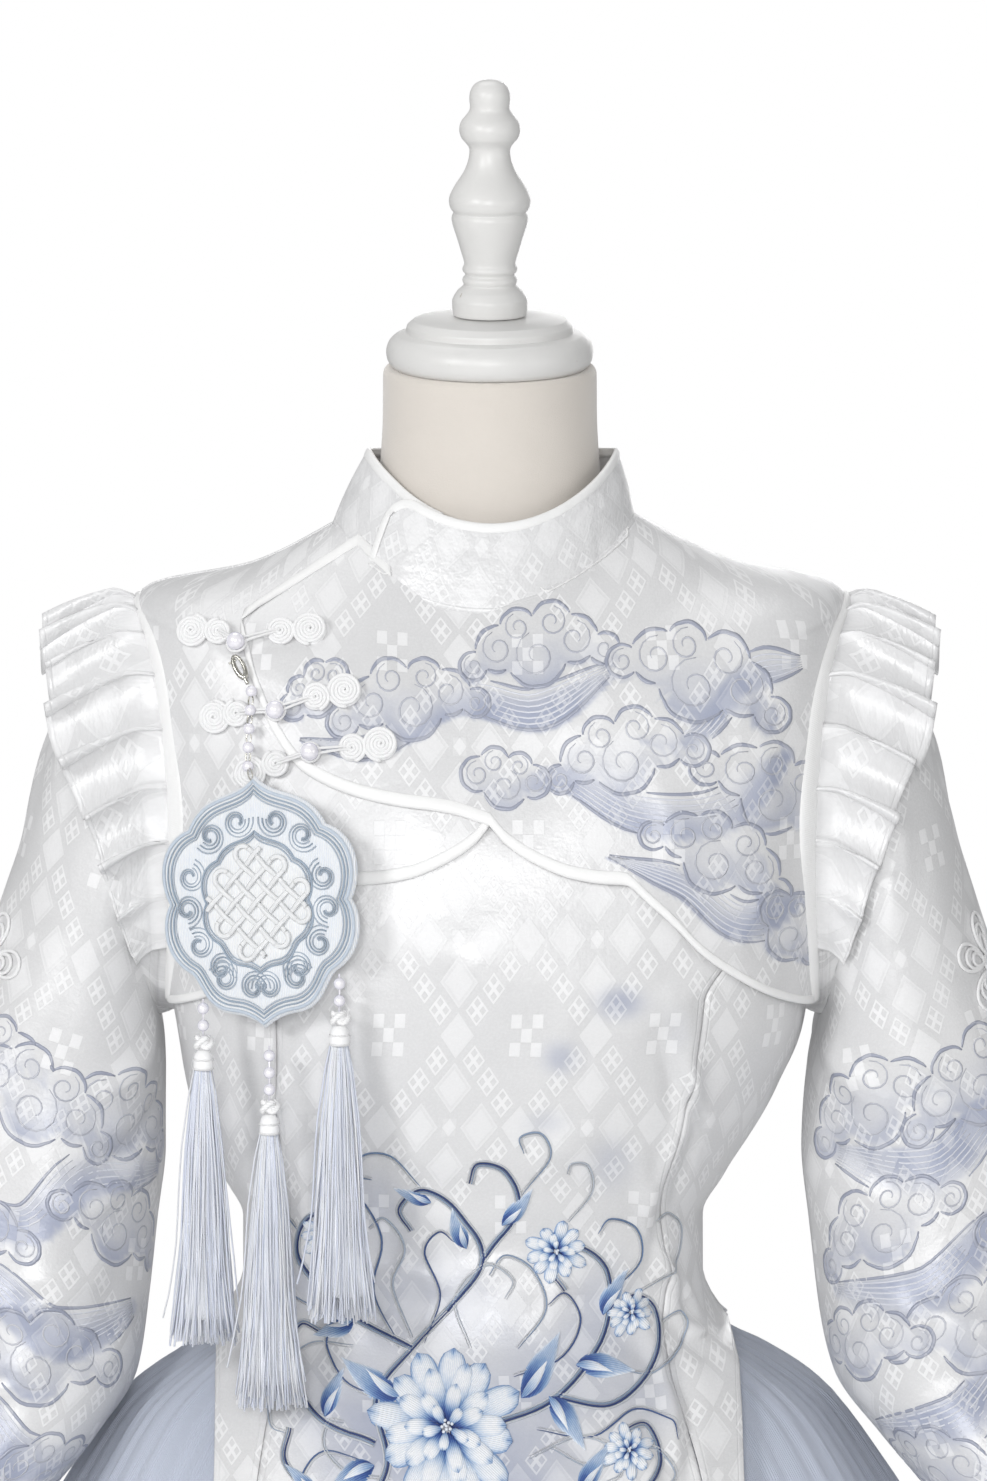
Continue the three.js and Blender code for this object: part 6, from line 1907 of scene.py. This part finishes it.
def area_light(name, place, aim, size, power):
    data = bpy.data.lights.new(name, "AREA")
    data.shape, data.size, data.energy = "DISK", size, power
    light = bpy.data.objects.new(name, data)
    light.location = place
    light.rotation_euler = (Vector(aim) - Vector(place)).to_track_quat("-Z", "Y").to_euler()
    bpy.context.scene.collection.objects.link(light)


def build_stage():
    bm = bmesh.new()
    bmesh.ops.create_grid(bm, x_segments=1, y_segments=1, size=4)
    mesh = bpy.data.meshes.new("floor")
    bm.to_mesh(mesh)
    bm.free()
    paint = Paint("floor", base_color=(0.86, 0.86, 0.86), roughness=0.8)
    mesh.materials.append(paint.material)
    floor = bpy.data.objects.new("floor", mesh)
    bpy.context.scene.collection.objects.link(floor)
    world = bpy.data.worlds.new("studio")
    world.use_nodes = True
    tree = world.node_tree
    light = tree.nodes["Background"]
    light.inputs["Color"].default_value = (0.985, 0.99, 1.0, 1)
    light.inputs["Strength"].default_value = 0.37
    seen = tree.nodes.new("ShaderNodeBackground")
    seen.inputs["Color"].default_value = (1, 1, 1, 1)
    ray = tree.nodes.new("ShaderNodeLightPath")
    mix = tree.nodes.new("ShaderNodeMixShader")
    tree.links.new(ray.outputs["Is Camera Ray"], mix.inputs[0])
    tree.links.new(light.outputs[0], mix.inputs[1])
    tree.links.new(seen.outputs[0], mix.inputs[2])
    tree.links.new(mix.outputs[0], tree.nodes["World Output"].inputs["Surface"])
    bpy.context.scene.world = world
    bpy.context.scene.view_settings.view_transform = "Standard"
    area_light("key", (-1.9, -2.4, 2.2), (0, 0, 1.2), 0.8, 33)
    area_light("softbox", (-0.15, -3.3, 1.8), (0, 0, 1.2), 1.0, 39)
    area_light("fill", (2.6, -1.6, 1.5), (0, 0, 1.15), 1.6, 8)
    area_light("top", (-0.2, 0.5, 3.2), (0, 0, 1.1), 1.4, 10)
    area_light("back", (0.6, 3.4, 2.0), (0, 0, 1.0), 1.8, 22)


def finish_waistband():
    """The waistband stays as it came from the model, and shows only under the tunic."""
    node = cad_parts["skirt_waistband"]
    for place in node.material_slots:
        place.material = finish_of("chiffon")


# ---------------------------------------------------------------- add-on
class DressSizes(bpy.types.PropertyGroup):
    """Sizes and counts of the set, and where the camera stands."""

    ruffle_pleats: bpy.props.IntProperty(
        name="Ruffle pleats", description="Knife pleats round each shoulder ruffle", default=17, min=8, max=30
    )
    binding_width: bpy.props.FloatProperty(
        name="Binding width", description="Width of the satin bindings on the yoke", default=0.0065, unit="LENGTH"
    )
    frog_cord: bpy.props.FloatProperty(
        name="Frog cord", description="Radius of the coiled cord in the frogs", default=0.00105, unit="LENGTH"
    )
    pearl: bpy.props.FloatProperty(
        name="Button pearl", description="Radius of each frog's pearl", default=0.0046, unit="LENGTH"
    )
    tassel_length: bpy.props.FloatProperty(
        name="Tassel length",
        description="Length of the tassels' threads below their caps",
        default=0.142,
        unit="LENGTH",
    )
    tassel_threads: bpy.props.IntProperty(
        name="Tassel threads", description="Threads in each tassel", default=250, min=40, max=400
    )
    camera_distance: bpy.props.FloatProperty(
        name="Camera distance", description="From the camera to the bodice", default=2.8, unit="LENGTH"
    )
    camera_elevation: bpy.props.FloatProperty(
        name="Camera elevation", description="How far the camera looks down", default=math.radians(4), subtype="ANGLE"
    )
    camera_lens: bpy.props.FloatProperty(
        name="Camera lens", description="Focal length of the lens", default=128.4, unit="CAMERA"
    )


def colour(name, description, default):
    return bpy.props.FloatVectorProperty(name=name, description=description, default=default, size=3, subtype="COLOR")


class DressColours(bpy.types.PropertyGroup):
    """Colours of the cloths, prints, threads and paint."""

    satin_ground: colour("Satin ground", "Ground of the jacquard satin", (0.695, 0.695, 0.70))
    satin_figure: colour("Satin figure", "Woven figure of the jacquard satin", (0.835, 0.835, 0.84))
    wash: colour("Wash", "Palest ink of the print, laid on as a wash", (0.32, 0.355, 0.48))
    ink: colour("Ink", "Lines of the print", (0.29, 0.315, 0.41))
    binding: colour("Binding", "Satin bindings", (0.88, 0.88, 0.875))
    linen: colour("Linen", "Cover of the dress form", (0.72, 0.672, 0.615))
    wood: colour("Painted wood", "Paint of the neck cap, finial, pole and foot", (0.75, 0.745, 0.73))
    chiffon: colour("Chiffon", "Skirt's chiffon in the light", (0.53, 0.575, 0.68))
    # Painted shade colour of the skirt, laid near its top under the tunic and in the valleys of its folds.
    chiffon_painted_shade: colour("Chiffon shade", "Skirt's chiffon where it is gathered", (0.30, 0.335, 0.42))
    tassel: colour("Tassel", "Paler tassel threads", (0.96, 0.975, 1.0))
    tassel_shade: colour("Tassel shade", "Darker tassel threads", (0.79, 0.845, 1.0))


class DRESS_OT_form(bpy.types.Operator):
    """Builds the covered form with its turned cap and finial, the pole and the round foot"""

    bl_idname, bl_label = "dress.form", "Dress form"

    def execute(self, context):
        build_form()
        return {"FINISHED"}


class DRESS_OT_tunic(bpy.types.Operator):
    """Builds the tunic's front, side fronts and back"""

    bl_idname, bl_label = "dress.tunic", "Tunic"

    def execute(self, context):
        build_tunic()
        return {"FINISHED"}


class DRESS_OT_yoke(bpy.types.Operator):
    """Builds the printed overlap, the underlap, the back yoke and their bindings"""

    bl_idname, bl_label = "dress.yoke", "Yoke"

    def execute(self, context):
        build_yoke()
        return {"FINISHED"}


class DRESS_OT_collar(bpy.types.Operator):
    """Builds the mandarin collar and its binding"""

    bl_idname, bl_label = "dress.collar", "Collar"

    def execute(self, context):
        build_collar()
        return {"FINISHED"}


class DRESS_OT_sleeves(bpy.types.Operator):
    """Builds both sleeves with their print and corded flowers, the ruffles and the armhole bindings"""

    bl_idname, bl_label = "dress.sleeves", "Sleeves and ruffles"

    def execute(self, context):
        build_sleeves()
        build_ruffles()
        build_armholes()
        return {"FINISHED"}


class DRESS_OT_skirt(bpy.types.Operator):
    """Builds the gathered chiffon skirt"""

    bl_idname, bl_label = "dress.skirt", "Skirt"

    def execute(self, context):
        build_skirt()
        finish_waistband()
        return {"FINISHED"}


class DRESS_OT_spray(bpy.types.Operator):
    """Builds the embroidered flower spray on the front"""

    bl_idname, bl_label = "dress.spray", "Embroidered spray"

    def execute(self, context):
        build_spray()
        return {"FINISHED"}


class DRESS_OT_frogs(bpy.types.Operator):
    """Builds the three frogs and their pearls"""

    bl_idname, bl_label = "dress.frogs", "Frog fastenings"

    def execute(self, context):
        build_frogs()
        return {"FINISHED"}


class DRESS_OT_charm(bpy.types.Operator):
    """Builds the embroidered plaque, its pearl chain with a clasp, and the three tassels"""

    bl_idname, bl_label = "dress.charm", "Charm"

    def execute(self, context):
        build_plaque()
        build_chain()
        build_tassels()
        return {"FINISHED"}


class DRESS_OT_stage(bpy.types.Operator):
    """Sets up the camera, the floor, the studio lights and the white surround"""

    bl_idname, bl_label = "dress.stage", "Stage"

    def execute(self, context):
        build_camera()
        build_stage()
        return {"FINISHED"}


OPERATORS = (
    DRESS_OT_stage, DRESS_OT_form, DRESS_OT_tunic, DRESS_OT_yoke, DRESS_OT_collar, DRESS_OT_sleeves, DRESS_OT_skirt,
    DRESS_OT_spray, DRESS_OT_frogs, DRESS_OT_charm,
)


class DRESS_PT_panel(bpy.types.Panel):
    """Lists the set's sizes and colours and what builds each piece"""

    bl_idname, bl_label, bl_category = "DRESS_PT_panel", "Dress set", "Dress"
    bl_space_type, bl_region_type = "VIEW_3D", "UI"

    def draw(self, context):
        for group in (context.scene.dress_sizes, context.scene.dress_colours):
            column = self.layout.column()
            for name in group.bl_rna.properties.keys():
                if name not in ("rna_type", "name"):
                    column.prop(group, name)
        for operator in OPERATORS:
            self.layout.operator(operator.bl_idname)


CLASSES = (DressSizes, DressColours, *OPERATORS, DRESS_PT_panel)


def register():
    for each in CLASSES:
        bpy.utils.register_class(each)
    bpy.types.Scene.dress_sizes = bpy.props.PointerProperty(type=DressSizes)
    bpy.types.Scene.dress_colours = bpy.props.PointerProperty(type=DressColours)


def unregister():
    del bpy.types.Scene.dress_colours
    del bpy.types.Scene.dress_sizes
    for each in reversed(CLASSES):
        bpy.utils.unregister_class(each)


def main():
    register()
    for operator in OPERATORS:
        group, name = operator.bl_idname.split(".")
        getattr(getattr(bpy.ops, group), name)()


if __name__ == "__main__":
    main()
